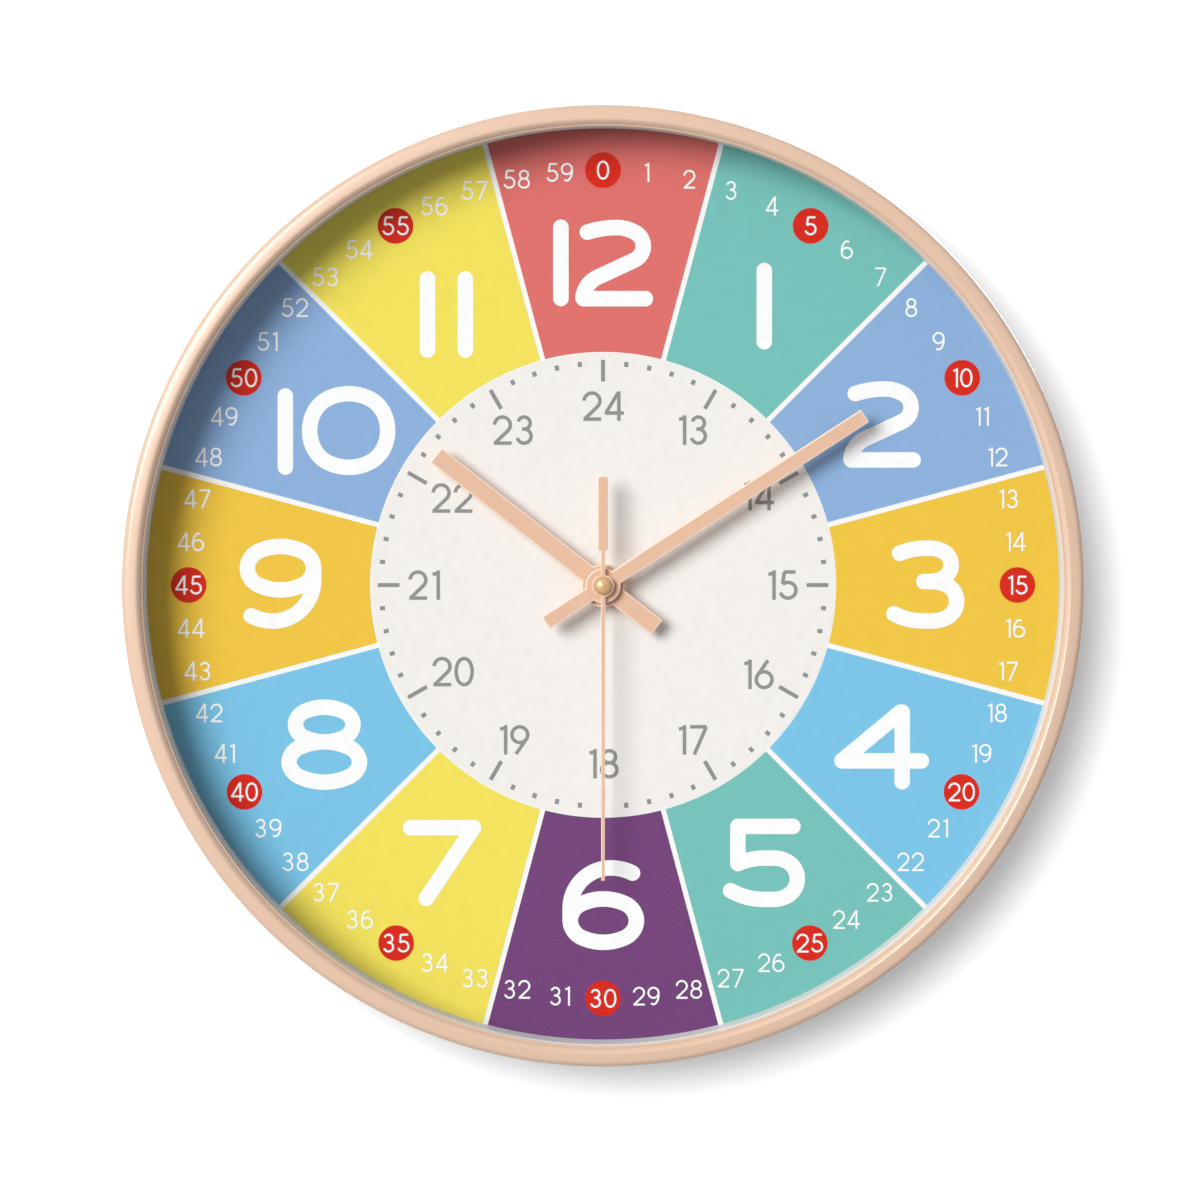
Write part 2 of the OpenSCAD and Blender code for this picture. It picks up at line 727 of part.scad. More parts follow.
module driver_chip() {
    ball_r = dome_r(chip_r, chip_h);
    color("black") hang() translate([chip_at[0], chip_at[1], z_board]) intersection() {
        translate([0, 0, ball_r - chip_h]) sphere(ball_r);
        round_bar(chip_r + past, -chip_h - past, 0);
    }
}

module quartz_crystal() {
    color("silver") hang() translate([crystal_at[0], crystal_at[1], z_board - crystal_d / 2 - fit])
        rotate([90, 0, 0]) cylinder(d = crystal_d, h = crystal_len, center = true);
}

// Strip up the side of the bay, through the notch and on to the circuit board
module contact_lead(x) {
    translate([x, bay_mid, z_board - contact_w / 2])
        cube([contact_t, board_low + lead_lap - bay_mid, contact_w / 2 + board_t]);
}

module positive_contact() {
    color("lightsteelblue") hang() {
        translate([-bay_half, bay_mid - contact_w / 2, cell_at[2] - contact_w / 2])
            cube([contact_t, contact_w, contact_w]);
        contact_lead(-bay_half);
    }
}

module negative_contact() {
    fold = contact_fold + contact_t - seat;
    color("lightsteelblue") hang() {
        translate([0, 0, cell_at[2] - contact_w / 2]) linear_extrude(contact_w) {
            translate([bay_half - contact_t, bay_mid - contact_w / 2]) square([contact_t, contact_w]);
            translate([bay_half, bay_mid - contact_w / 2]) polygon([[0, 0], [0, contact_t],
                [-fold + contact_t, contact_w - contact_t], [-fold + contact_t, contact_w],
                [-fold, contact_w], [-fold, contact_w - 2 * contact_t], [-contact_t, 0]]);
        }
        contact_lead(bay_half - contact_t);
    }
}

module battery_cell() {
    color([0.25, 0.45, 0.35]) hang() translate(cell_at) rotate([0, 90, 0]) {
        round_bar(tip_d / 2, 0, tip_h + past);
        round_bar(cell_d / 2, tip_h, tip_h + cell_len);
    }
}

// Thin end of an arbor, in its bearing
module pivot(z0, z1) {
    round_bar(pin_d / 2, z0, z1);
}

module rotor_magnet() {
    color([0.3, 0.3, 0.32]) hang() translate(rotor_at)
        round_bar(magnet_d / 2, z_magnet, z_magnet + magnet_h, pin_d / 2 + fit);
}

module rotor_pinion() {
    color("white") hang() translate(rotor_at) {
        pinion(train_module, rotor_teeth, 0, level(0));
        pivot(z_bridge, z_magnet + magnet_h + pivot_len);
    }
}

module intermediate_wheel() {
    color("white") hang() translate(inter_at) {
        wheel(train_module, inter_teeth, inter_phase, level(0));
        pinion(train_module, inter_pinion_teeth, 0, level(1));
        pivot(z_bridge, level(1) + gear_t + pinion_over + pivot_len);
    }
}

module second_wheel() {
    color("white") hang() difference() {
        union() {
            wheel(train_module, second_teeth, second_phase, level(1));
            pinion(train_module, second_pinion_teeth, 0, level(2));
            round_bar(root_r(train_module, second_pinion_teeth), level(1), level(2));
        }
        round_bar(second_d / 2 + fit, level(1) - past, level(2) + gear_t + pinion_over + past);
    }
}

module second_arbor() {
    color("silver") hang() round_bar(second_d / 2, z_bridge, z_cap + collet_t);
}

module third_wheel() {
    color("white") hang() translate(third_at) {
        wheel(train_module, third_teeth, third_phase, level(2));
        pinion(centre_module, third_pinion_teeth, 0, level(3));
        pivot(z_bridge, level(3) + gear_t + pinion_over + pivot_len);
    }
}

module centre_wheel() {
    color("white") hang() difference() {
        wheel(centre_module, centre_teeth, centre_phase, level(3));
        round_bar(minute_d / 2 + running, level(3) - past, level(3) + gear_t + past);
    }
}

module clutch_spring() {
    low = level(3) + gear_t + fit;
    high = level(4) - pinion_over - fit;
    inner = minute_d / 2 + fit;
    outer = inner + clutch_w;
    color("gold") hang() rotate_extrude()
        polygon([[inner, high - clutch_t], [outer, low], [outer, low + clutch_t], [inner, high]]);
}

module minute_arbor() {
    low = level(3) - stop_t;
    color("white") hang() difference() {
        union() {
            round_bar(minute_d / 2, low, z_minute + blade_t);
            round_bar(minute_d / 2 + stop_w, low, level(3) - fit);
            pinion(motion_module, minute_pinion_teeth, 0, level(4));
        }
        round_bar(second_d / 2 + running, low - past, z_minute + blade_t + past);
    }
}

module reduction_wheel() {
    color("white") hang() translate(reduction_at) difference() {
        union() {
            wheel(motion_module, reduction_teeth, reduction_phase, level(4), 4);
            pinion(hour_module, reduction_pinion_teeth, 0, level(5));
            round_bar(root_r(hour_module, reduction_pinion_teeth), level(4), level(5));
        }
        round_bar(pin_d / 2 + running, level(4) - past, level(5) + gear_t + pinion_over + past);
    }
}

module hour_wheel() {
    color("white") hang() difference() {
        union() {
            wheel(hour_module, hour_teeth, hour_phase, level(5), 4);
            round_bar(hour_d / 2 + sleeve_wall, level(5) - pinion_over / 2, z_floor - seat);
            round_bar(hour_d / 2, level(5), z_hour + blade_t);
        }
        round_bar(minute_d / 2 + running, level(5) - past, z_hour + blade_t + past);
    }
}

module setting_pinion() {
    color("white") hang() translate(setting_at) {
        pinion(motion_module, setting_teeth, setting_phase, level(4));
        round_bar(pin_d, wall_gap - knob_t / 2, level(4));
        pivot(level(4), z_foot - seat);
    }
}

module setting_knob() {
    rear = wall_gap - seat - knob_t;
    color("dimgray") hang() translate(setting_at) difference() {
        translate([0, 0, rear]) linear_extrude(knob_t) difference() {
            circle(d = knob_d);
            around(knob_flutes) translate([knob_d / 2 + flute_r / 3, 0]) circle(flute_r);
        }
        round_bar(pin_d + fit, wall_gap - knob_t / 2 - fit, wall_gap);
    }
}

// Turns a hand clockwise from twelve
module pointing(angle) {
    rotate(-angle) children();
}

// Straight blade with a round hub, pointing to twelve
module blade(len, tail, width, hub, bore) {
    difference() {
        union() {
            translate([-width / 2, -tail]) square([width, len + tail]);
            circle(d = hub);
        }
        circle(bore);
    }
}

// Flanged sleeve that a blade is riveted to
module collet(shaft_r, z_blade, thickness) {
    sleeve_r = shaft_r + sleeve_wall;
    round_bar(sleeve_r + flange_w, z_blade - collet_t, z_blade, shaft_r + fit);
    round_bar(sleeve_r, z_blade - fit, z_blade + thickness, shaft_r + fit);
}

module hour_hand() {
    color([0.93, 0.77, 0.66]) hang() pointing(hour_angle) translate([0, 0, z_hour])
        linear_extrude(blade_t) blade(hour_len, hour_tail, hour_w, hour_hub, sleeve_bore(hour_d));
}

module hour_collet() {
    color("gold") hang() collet(hour_d / 2, z_hour, blade_t);
}

module minute_hand() {
    color([0.93, 0.77, 0.66]) hang() pointing(minute_angle) translate([0, 0, z_minute])
        linear_extrude(blade_t)
            blade(minute_len, minute_tail, minute_w, minute_hub, sleeve_bore(minute_d));
}

module minute_collet() {
    color("gold") hang() collet(minute_d / 2, z_minute, blade_t);
}

module second_hand() {
    weight_half = second_weight_w / 2;
    color([0.93, 0.77, 0.66]) hang() pointing(second_angle) translate([0, 0, z_second])
        linear_extrude(second_blade_t) difference() {
            union() {
                polygon([[-second_w / 2, 0], [second_w / 2, 0],
                    [second_end_w / 2, second_len], [-second_end_w / 2, second_len]]);
                translate([-second_w / 2, -second_neck - past]) square([second_w, second_neck + past]);
                round_box([-weight_half, -second_tail], [weight_half, -second_neck], second_weight_round);
                circle(d = second_hub);
            }
            circle(sleeve_bore(second_d));
        }
}

module second_collet() {
    color("gold") hang() collet(second_d / 2, z_second, second_blade_t);
}

module hand_cap() {
    ball_r = dome_r(cap_d / 2, cap_h);
    color([0.8, 0.62, 0.3]) hang() difference() {
        intersection() {
            translate([0, 0, z_cap + cap_h - ball_r]) sphere(ball_r);
            round_bar(cap_d / 2 + past, z_cap, z_cap + cap_h + past);
        }
        round_bar(second_d / 2 + fit, z_cap - past, z_cap + collet_t + fit);
    }
}

frame();
lens();
spacer_ring();
dial_sheet();
back_plate();
plate_screws();
hanger_plate();
hanger_screws();
movement_case();
train_bridge();
movement_cover();
cushion_washer();
mounting_washer();
mounting_nut();
stator();
coil_core();
coil_bobbin();
coil_winding();
circuit_board();
driver_chip();
quartz_crystal();
positive_contact();
negative_contact();
battery_cell();
rotor_magnet();
rotor_pinion();
intermediate_wheel();
second_wheel();
second_arbor();
third_wheel();
centre_wheel();
clutch_spring();
minute_arbor();
reduction_wheel();
hour_wheel();
setting_pinion();
setting_knob();
hour_hand();
hour_collet();
minute_hand();
minute_collet();
second_hand();
second_collet();
hand_cap();
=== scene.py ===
"""Looks of a round teaching wall clock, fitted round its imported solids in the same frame.

The classes work in millimetres as the clock is drawn: x to the right, y up to twelve and z from the wall
towards the viewer. HANG stands a finished mesh on the wall, in metres, with its front towards -Y.
"""
import logging
import math
from collections.abc import Iterable, Sequence
from dataclasses import dataclass, field
from enum import Enum

import bmesh
import bpy
from bmesh.types import BMEdge, BMesh, BMFace, BMVert
from bpy.types import Material, NodeSocket, NodeTree, Object
from mathutils import Matrix, Vector


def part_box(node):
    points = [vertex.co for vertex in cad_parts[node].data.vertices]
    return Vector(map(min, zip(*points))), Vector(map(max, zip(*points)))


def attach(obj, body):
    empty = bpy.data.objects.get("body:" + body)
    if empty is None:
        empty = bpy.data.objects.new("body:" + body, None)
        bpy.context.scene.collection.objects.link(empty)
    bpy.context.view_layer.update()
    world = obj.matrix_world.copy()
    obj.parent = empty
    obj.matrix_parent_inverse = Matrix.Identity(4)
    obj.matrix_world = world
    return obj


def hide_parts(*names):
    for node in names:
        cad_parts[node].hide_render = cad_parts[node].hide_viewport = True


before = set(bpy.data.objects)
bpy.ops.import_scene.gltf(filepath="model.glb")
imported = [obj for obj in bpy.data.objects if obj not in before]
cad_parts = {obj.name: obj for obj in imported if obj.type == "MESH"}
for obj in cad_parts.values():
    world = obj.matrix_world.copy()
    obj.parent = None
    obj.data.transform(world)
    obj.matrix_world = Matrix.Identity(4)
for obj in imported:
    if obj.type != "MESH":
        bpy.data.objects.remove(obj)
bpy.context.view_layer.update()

LOG = logging.getLogger("clock")
METRE = 1000.0
HANG = Matrix.Scale(1 / METRE, 4) @ Matrix.Rotation(math.radians(90), 4, "X")
AXIS = Vector((0, 0, 1))
CENTRE = Vector((0, 0, 0))

# Degrees from one hour to the next, and from one minute to the next
HOUR_TURN = 30.0
MINUTE_TURN = 6.0

# Distances at which points are one, a cut runs through a point, and a point lies on the axis
SEAM = 1e-4
CUT = 1e-5
ON_AXIS = 1e-6

# Angle in degrees under which faces count as one flat face
FLAT = 0.5

# Faces to the rounding of a turned section
ROUND_STEPS = 8

WHITE = (1, 1, 1, 1)
Pair = tuple[float, float]
Triple = tuple[float, float, float]


def levels(node: str) -> Pair:
    """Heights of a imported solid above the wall.

    Args:
        node: Name of the solid.

    Returns:
        The height of its back and of its front.
    """
    front, back = (round(-corner.y * METRE, 3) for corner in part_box(node))
    return back, front


FACE = levels("dial_sheet")[1]
LENS_BACK, LENS_FRONT = levels("lens")


class Body(Enum):
    """Bodies of the clock that pieces ride on."""

    CASE = "case"
    BATTERY = "battery"
    HOUR = "hour"
    MINUTE = "minute"
    SECOND = "second"
    SETTING = "setting"


class Lay(Enum):
    """How the fine marks of a finish run."""

    EVEN = "even"
    BRUSHED = "brushed"
    TURNED = "turned"


class Cap(Enum):
    """How the end of a pen stroke is shaped."""

    ROUND = "round"
    SQUARE = "square"


# Finishes


@dataclass(frozen=True)
class Tint:
    """A colour in display steps of 0 to 255."""

    red: float
    green: float
    blue: float

    def linear(self, share: float = 1.0) -> tuple[float, float, float, float]:
        """The colour as scene-linear values.

        Args:
            share: Brightness relative to the colour itself.

        Returns:
            Red, green, blue and alpha.
        """
        steps = [value / 255 for value in (self.red, self.green, self.blue)]
        light = [s / 12.92 if s <= 0.04045 else ((s + 0.055) / 1.055) ** 2.4 for s in steps]
        return (light[0] * share, light[1] * share, light[2] * share, 1.0)


def wire(tree: NodeTree, *pairs: tuple[NodeSocket, NodeSocket]) -> None:
    """Joins the first socket of each pair to the second."""
    for start, end in pairs:
        tree.links.new(start, end)


def any_ray(tree: NodeTree, *kinds: str) -> NodeSocket:
    """Tells rays of some kinds from all others.

    Args:
        tree: Nodes of a material or of the room.
        kinds: Names of the kinds.

    Returns:
        The socket that gives 1 for such a ray.
    """
    path = tree.nodes.new("ShaderNodeLightPath")
    found = path.outputs[kinds[0]]
    for kind in kinds[1:]:
        either = tree.nodes.new("ShaderNodeMath")
        either.operation = "MAXIMUM"
        wire(tree, (found, either.inputs[0]), (path.outputs[kind], either.inputs[1]))
        found = either.outputs[0]
    return found


@dataclass(frozen=True)
class Grain:
    """The shared group that turns a position into mottled colour, uneven roughness and fine relief.

    Attributes:
        detail: Detail of the fine marks and of the broad mottle.
        broad: Scale of the mottle, as a share of the scale of the marks.
        mixed: How much of the fine marks is added to the mottle.
        mottle: Values between which the colour goes from pale to deep.
        uneven: Values between which the surface goes from smooth to rough.
    """

    name: str = "surface_grain"
    detail: Pair = (3.0, 2.0)
    broad: float = 0.06
    mixed: float = 0.45
    mottle: Pair = (0.5, 0.95)
    uneven: Pair = (0.3, 0.7)

    def group(self) -> NodeTree:
        """The group as nodes.

        Returns:
            The shader node group, made on the first call.
        """
        tree = bpy.data.node_groups.get(self.name)
        if tree is None:
            tree = bpy.data.node_groups.new(self.name, "ShaderNodeTree")
            self.compose(tree)
        return tree

    def compose(self, tree: NodeTree) -> None:
        """Names the sockets of the group and lays out its nodes.

        Args:
            tree: The new group.
        """
        for name, kind in (("Position", "Vector"), ("Scale", "Float"), ("Pale", "Color"), ("Deep", "Color"),
                           ("Smooth", "Float"), ("Rough", "Float")):
            tree.interface.new_socket(name, in_out="INPUT", socket_type=f"NodeSocket{kind}")
        for name, kind in (("Color", "Color"), ("Roughness", "Float"), ("Height", "Float")):
            tree.interface.new_socket(name, in_out="OUTPUT", socket_type=f"NodeSocket{kind}")
        source, sink, fine, broad, coarse, blend, share, colour, gloss = (tree.nodes.new(kind) for kind in (
            "NodeGroupInput", "NodeGroupOutput", "ShaderNodeTexNoise", "ShaderNodeTexNoise", "ShaderNodeMath",
            "ShaderNodeMath", "ShaderNodeMapRange", "ShaderNodeMix", "ShaderNodeMapRange"))
        fine.inputs["Detail"].default_value, broad.inputs["Detail"].default_value = self.detail
        coarse.operation, blend.operation, colour.data_type = "MULTIPLY", "MULTIPLY_ADD", "RGBA"
        coarse.inputs[1].default_value, blend.inputs[1].default_value = self.broad, self.mixed
        for node, span in ((share, self.mottle), (gloss, self.uneven)):
            node.inputs["From Min"].default_value, node.inputs["From Max"].default_value = span
        given = source.outputs
        wire(tree,
             (given["Position"], fine.inputs["Vector"]), (given["Position"], broad.inputs["Vector"]),
             (given["Scale"], fine.inputs["Scale"]), (given["Scale"], coarse.inputs[0]),
             (coarse.outputs[0], broad.inputs["Scale"]), (fine.outputs[0], blend.inputs[0]),
             (broad.outputs[0], blend.inputs[2]), (blend.outputs[0], share.inputs["Value"]),
             (share.outputs["Result"], colour.inputs["Factor"]), (given["Pale"], colour.inputs["A"]),
             (given["Deep"], colour.inputs["B"]), (broad.outputs[0], gloss.inputs["Value"]),
             (given["Smooth"], gloss.inputs["To Min"]), (given["Rough"], gloss.inputs["To Max"]),
             (colour.outputs["Result"], sink.inputs["Color"]), (fine.outputs[0], sink.inputs["Height"]),
             (gloss.outputs["Result"], sink.inputs["Roughness"]))


class Surface:
    """What all finishes share: one material, made once and named after the finish."""

    name: str

    def material(self) -> Material:
        """The finish as a material.

        Returns:
            The material, made on the first call.
        """
        title = f"{self.name}_finish"
        material = bpy.data.materials.get(title)
        if material is None:
            material = bpy.data.materials.new(title)
            material.use_nodes = True
            self.compose(material.node_tree)
        return material

    def compose(self, tree: NodeTree) -> None:
        """Lays out the nodes of a new material, which each finish does in its own way."""
        raise NotImplementedError


@dataclass(frozen=True)
class Finish(Surface):
    """A surface with a mottled colour, an uneven gloss and a fine relief.

    Attributes:
        deep: Brightness of the mottle's deeper colour, as a share of the tint.
        rough: Lowest and highest roughness.
        grain: Marks per metre.
        relief: Strength of the relief, whose full depth in metres is depth.
        dulled: Whether other surfaces see it as the grey of bounce, so that it doesn't stain them.
    """

    name: str
    tint: Tint
    deep: float = 0.95
    rough: Pair = (0.42, 0.5)
    metal: float = 0.0
    grain: float = 2400.0
    relief: float = 0.05
    coat: float = 0.0
    gloss: float = 0.5
    lay: Lay = Lay.EVEN
    dulled: bool = False
    depth: float = 0.0002
    coat_rough: float = 0.2
    brushed_stretch: float = 0.06
    bounce: float = 0.25

    def compose(self, tree: NodeTree) -> None:
        """Feeds the shader from the shared grain.

        Args:
            tree: Nodes of the new material.
        """
        shader, grain, bump = (tree.nodes["Principled BSDF"], tree.nodes.new("ShaderNodeGroup"),
                               tree.nodes.new("ShaderNodeBump"))
        grain.node_tree = Grain().group()
        for node, values in (
                (shader, {"Metallic": self.metal, "Specular IOR Level": self.gloss, "Coat Weight": self.coat,
                          "Coat Roughness": self.coat_rough}),
                (grain, {"Scale": self.grain, "Pale": self.tint.linear(), "Deep": self.tint.linear(self.deep),
                         "Smooth": self.rough[0], "Rough": self.rough[1]}),
                (bump, {"Strength": self.relief, "Distance": self.depth})):
            for key, value in values.items():
                node.inputs[key].default_value = value
        colour = grain.outputs["Color"]
        wire(tree,
             (self.marks(tree), grain.inputs["Position"]),
             (self.dull(tree, colour) if self.dulled else colour, shader.inputs["Base Color"]),
             (grain.outputs["Roughness"], shader.inputs["Roughness"]),
             (grain.outputs["Height"], bump.inputs["Height"]),
             (bump.outputs["Normal"], shader.inputs["Normal"]))

    def dull(self, tree: NodeTree, colour: NodeSocket) -> NodeSocket:
        """Swaps the colour for plain grey where it only lights other surfaces.

        Args:
            tree: Nodes of the material.
            colour: The socket that gives the colour.

        Returns:
            The socket that gives the colour or the grey.
        """
        seen = tree.nodes.new("ShaderNodeMix")
        seen.data_type = "RGBA"
        seen.inputs["B"].default_value = (self.bounce, self.bounce, self.bounce, 1)
        wire(tree, (any_ray(tree, "Is Diffuse Ray"), seen.inputs["Factor"]), (colour, seen.inputs["A"]))
        return seen.outputs["Result"]

    def marks(self, tree: NodeTree) -> NodeSocket:
        """Lays out the position that the marks follow.

        Args:
            tree: Nodes of the material.

        Returns:
            The socket that gives the position.
        """
        place = tree.nodes.new("ShaderNodeTexCoord").outputs["Object"]
        if self.lay is Lay.EVEN:
            return place
        along = tree.nodes.new("ShaderNodeVectorMath")
        along.operation = "MULTIPLY"
        along.inputs[1].default_value = (self.brushed_stretch, 1, 1) if self.lay is Lay.BRUSHED else (1, 0, 1)
        wire(tree, (place, along.inputs[0]))
        if self.lay is Lay.BRUSHED:
            return along.outputs["Vector"]
        radius, rings = tree.nodes.new("ShaderNodeVectorMath"), tree.nodes.new("ShaderNodeCombineXYZ")
        radius.operation = "LENGTH"
        wire(tree, (along.outputs["Vector"], radius.inputs[0]), (radius.outputs["Value"], rings.inputs["X"]))
        return rings.outputs["Vector"]


@dataclass(frozen=True)
class ClearFinish(Surface):
    """Clear glass that lets the light of the room through to the dial.

    Attributes:
        bend: How strongly it bends light, kept low because the lens hardly mirrors the room.
    """

    name: str = "clear_glass"
    tint: Tint = Tint(252, 254, 253)
    rough: float = 0.02
    bend: float = 1.14

    def compose(self, tree: NodeTree) -> None:
        """Makes the glass, and leaves it out for light on its way to the dial.

        Args:
            tree: Nodes of the new material.
        """
        glass, clear, choice = (tree.nodes["Principled BSDF"], tree.nodes.new("ShaderNodeBsdfTransparent"),
                                tree.nodes.new("ShaderNodeMixShader"))
        for key, value in (("Base Color", self.tint.linear()), ("Roughness", self.rough),
                           ("IOR", self.bend), ("Transmission Weight", 1.0)):
            glass.inputs[key].default_value = value
        wire(tree,
             (any_ray(tree, "Is Shadow Ray", "Is Diffuse Ray", "Is Glossy Ray"), choice.inputs["Fac"]),
             (glass.outputs[0], choice.inputs[1]), (clear.outputs[0], choice.inputs[2]),
             (choice.outputs[0], tree.nodes["Material Output"].inputs["Surface"]))


ROSE_PLASTIC = Finish("rose_plastic", Tint(227, 191, 164), deep=0.97, rough=(0.36, 0.42), relief=0.02,
                      coat=1.0, gloss=0.45, dulled=True)
PALE_PLASTIC = Finish("pale_plastic", Tint(242, 241, 239), deep=0.97, relief=0.02, dulled=True)
DIAL_CARD = Finish("dial_card", Tint(250, 249, 247), deep=0.975, rough=(0.55, 0.65), grain=5200, relief=0.04,
                   gloss=0.3)
WHITE_PLASTIC = Finish("white_plastic", Tint(232, 232, 230), rough=(0.45, 0.55), grain=3200, relief=0.16)
ZINC_STEEL = Finish("zinc_steel", Tint(196, 199, 204), deep=0.82, rough=(0.26, 0.42), metal=1.0, grain=3000,
                    relief=0.06, lay=Lay.BRUSHED)
BLACK_PLASTIC = Finish("black_plastic", Tint(44, 44, 47), deep=0.8, rough=(0.45, 0.6), grain=3600,
                       relief=0.22)
BRIDGE_PLASTIC = Finish("bridge_plastic", Tint(214, 211, 202))
CUSHION_RUBBER = Finish("cushion_rubber", Tint(46, 46, 47), deep=0.8, rough=(0.7, 0.85), relief=0.12,
                        gloss=0.3)
BRASS = Finish("brass", Tint(216, 176, 120), deep=0.9, rough=(0.2, 0.28), metal=1.0, grain=5200, relief=0.02,
               lay=Lay.TURNED)
CAP_BRASS = Finish("cap_brass", Tint(222, 180, 124), deep=0.92, rough=(0.26, 0.32), metal=0.3, grain=5200,
                   relief=0.015, lay=Lay.TURNED)
SOFT_IRON = Finish("soft_iron", Tint(160, 160, 163), deep=0.8, rough=(0.35, 0.5), metal=1.0, lay=Lay.BRUSHED)
COPPER_WIRE = Finish("copper_wire", Tint(196, 118, 72), deep=0.75, rough=(0.3, 0.4), metal=0.85, grain=5200,
                     relief=0.2)
BOARD = Finish("board", Tint(46, 116, 70), deep=0.85, rough=(0.4, 0.5), grain=3000)
CHIP_RESIN = Finish("chip_resin", Tint(28, 28, 30), deep=0.8, rough=(0.2, 0.3))
BRIGHT_STEEL = Finish("bright_steel", Tint(214, 215, 218), deep=0.9, rough=(0.12, 0.2), metal=1.0,
                      relief=0.02)
CELL_WRAP = Finish("cell_wrap", Tint(52, 98, 78), deep=0.9, rough=(0.25, 0.35), grain=2600, coat=0.3)
CELL_BAND = Finish("cell_band", Tint(222, 214, 196), rough=(0.25, 0.35), grain=2600, coat=0.3)
MAGNET = Finish("magnet", Tint(74, 74, 78), deep=0.8, rough=(0.4, 0.6), metal=0.8, relief=0.2)
GEAR_PLASTIC = Finish("gear_plastic", Tint(238, 238, 232), deep=0.96)
KNOB_PLASTIC = Finish("knob_plastic", Tint(78, 78, 80), deep=0.85, relief=0.12)
ROSE_METAL = Finish("rose_metal", Tint(234, 190, 161), deep=0.97, grain=3600, relief=0.03, gloss=0.2)
# Paler rose for the hands' pressed edge faces: a painted highlight, lighter than the blade itself
ROSE_EDGE_HIGHLIGHT = Finish("rose_painted_edge_highlight", Tint(250, 222, 202), deep=0.97, rough=(0.3, 0.36), grain=3600, relief=0.02,
                   gloss=0.4)
CLEAR_GLASS = ClearFinish()


def ink(name: str, tint: Tint, dulled: bool = True) -> Finish:
    """A printed colour on the dial; a dulled one keeps its colour from the pieces next to it."""
    return Finish(f"ink_{name}", tint, deep=0.965, rough=(0.5, 0.6), grain=5200, relief=0.03, gloss=0.1,
                  dulled=dulled)


class Hue(Enum):
    """Inks of the hour sectors."""

    CORAL = ink("coral", Tint(226, 113, 108))
    TEAL = ink("teal", Tint(118, 195, 187))
    BLUE = ink("blue", Tint(142, 178, 222))
    AMBER = ink("amber", Tint(243, 199, 66))
    SKY = ink("sky", Tint(124, 198, 234))
    PURPLE = ink("purple", Tint(116, 66, 122))
    YELLOW = ink("yellow", Tint(246, 228, 92))


PALE_INK = ink("pale", Tint(245, 241, 237), dulled=False)
WHITE_INK = ink("white", Tint(254, 254, 254))
GREY_INK = ink("grey", Tint(146, 147, 146))
RED_INK = ink("red", Tint(219, 36, 18))


# Making pieces


def into_scene(name: str, bm: BMesh) -> Object:
    """Puts a mesh into the scene.

    Args:
        name: Name of the object and of its mesh.
        bm: The mesh, which is used up.

    Returns:
        The object.
    """
    mesh = bpy.data.meshes.new(name)
    bm.to_mesh(mesh)
    bm.free()
    obj = bpy.data.objects.new(name, mesh)
    bpy.context.scene.collection.objects.link(obj)
    return obj


@dataclass
class Bench:
    """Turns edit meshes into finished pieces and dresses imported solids."""

    made: int = 0
    weld_distance: float = 1e-3
    sharp_angle: float = 40.0
    sliver_length: float = 2e-3
    soft_crease: float = 20.0

    def piece(self, name: str, bm: BMesh, finish: Surface, body: Body,
              stands_for: Iterable[str] = (), crease: float = 32.0, trim: Surface | None = None) -> None:
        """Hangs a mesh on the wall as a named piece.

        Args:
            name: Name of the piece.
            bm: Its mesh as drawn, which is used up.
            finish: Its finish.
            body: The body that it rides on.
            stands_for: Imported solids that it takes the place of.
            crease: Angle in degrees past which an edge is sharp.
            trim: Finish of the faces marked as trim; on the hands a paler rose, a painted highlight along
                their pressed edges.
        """
        bm.transform(HANG)
        obj = into_scene(name, bm)
        mesh = obj.data
        for used in (finish, trim) if trim else (finish,):
            mesh.materials.append(used.material())
        mesh.shade_smooth()
        mesh.set_sharp_from_angle(angle=math.radians(crease))
        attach(obj, body.value)
        if stands_for:
            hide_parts(*stands_for)
        self.made += 1
        LOG.info("%s: %d faces, %s, on %s", name, len(mesh.polygons), finish.name, body.value)

    def dress(self, finish: Surface, *nodes: str) -> None:
        """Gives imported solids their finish.

        Args:
            finish: The finish.
            nodes: Names of the solids.
        """
        for node in nodes:
            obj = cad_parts[node]
            if not obj.material_slots:
                obj.data.materials.append(None)
            for used in obj.material_slots:
                used.material = finish.material()
            LOG.info("%s: packed solid, %s", node, finish.name)

    def soften(self, node: str, width: float, finish: Surface, body: Body) -> None:
        """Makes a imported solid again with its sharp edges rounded, as a mould or a press leaves them.

        Args:
            node: Name of the solid.
            width: Width of the rounding.
            finish: Its finish.
            body: The body that it rides on.
        """
        bm = bmesh.new()
        bm.from_mesh(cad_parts[node].data)
        bm.transform(HANG.inverted())
        bmesh.ops.remove_doubles(bm, verts=bm.verts[:], dist=self.weld_distance)
        bmesh.ops.dissolve_limit(bm, angle_limit=math.radians(FLAT), verts=bm.verts[:], edges=bm.edges[:])
        limit = math.radians(self.sharp_angle)
        edges = [e for e in bm.edges if e.is_manifold and e.calc_face_angle() > limit]
        bmesh.ops.bevel(bm, geom=edges, offset=width, offset_type="OFFSET", segments=2, profile=0.5,
                        affect="EDGES", material=-1, clamp_overlap=True)
        bmesh.ops.dissolve_degenerate(bm, dist=self.sliver_length, edges=bm.edges[:])
        self.piece(f"{node}_softened", bm, finish, body, [node], self.soft_crease)


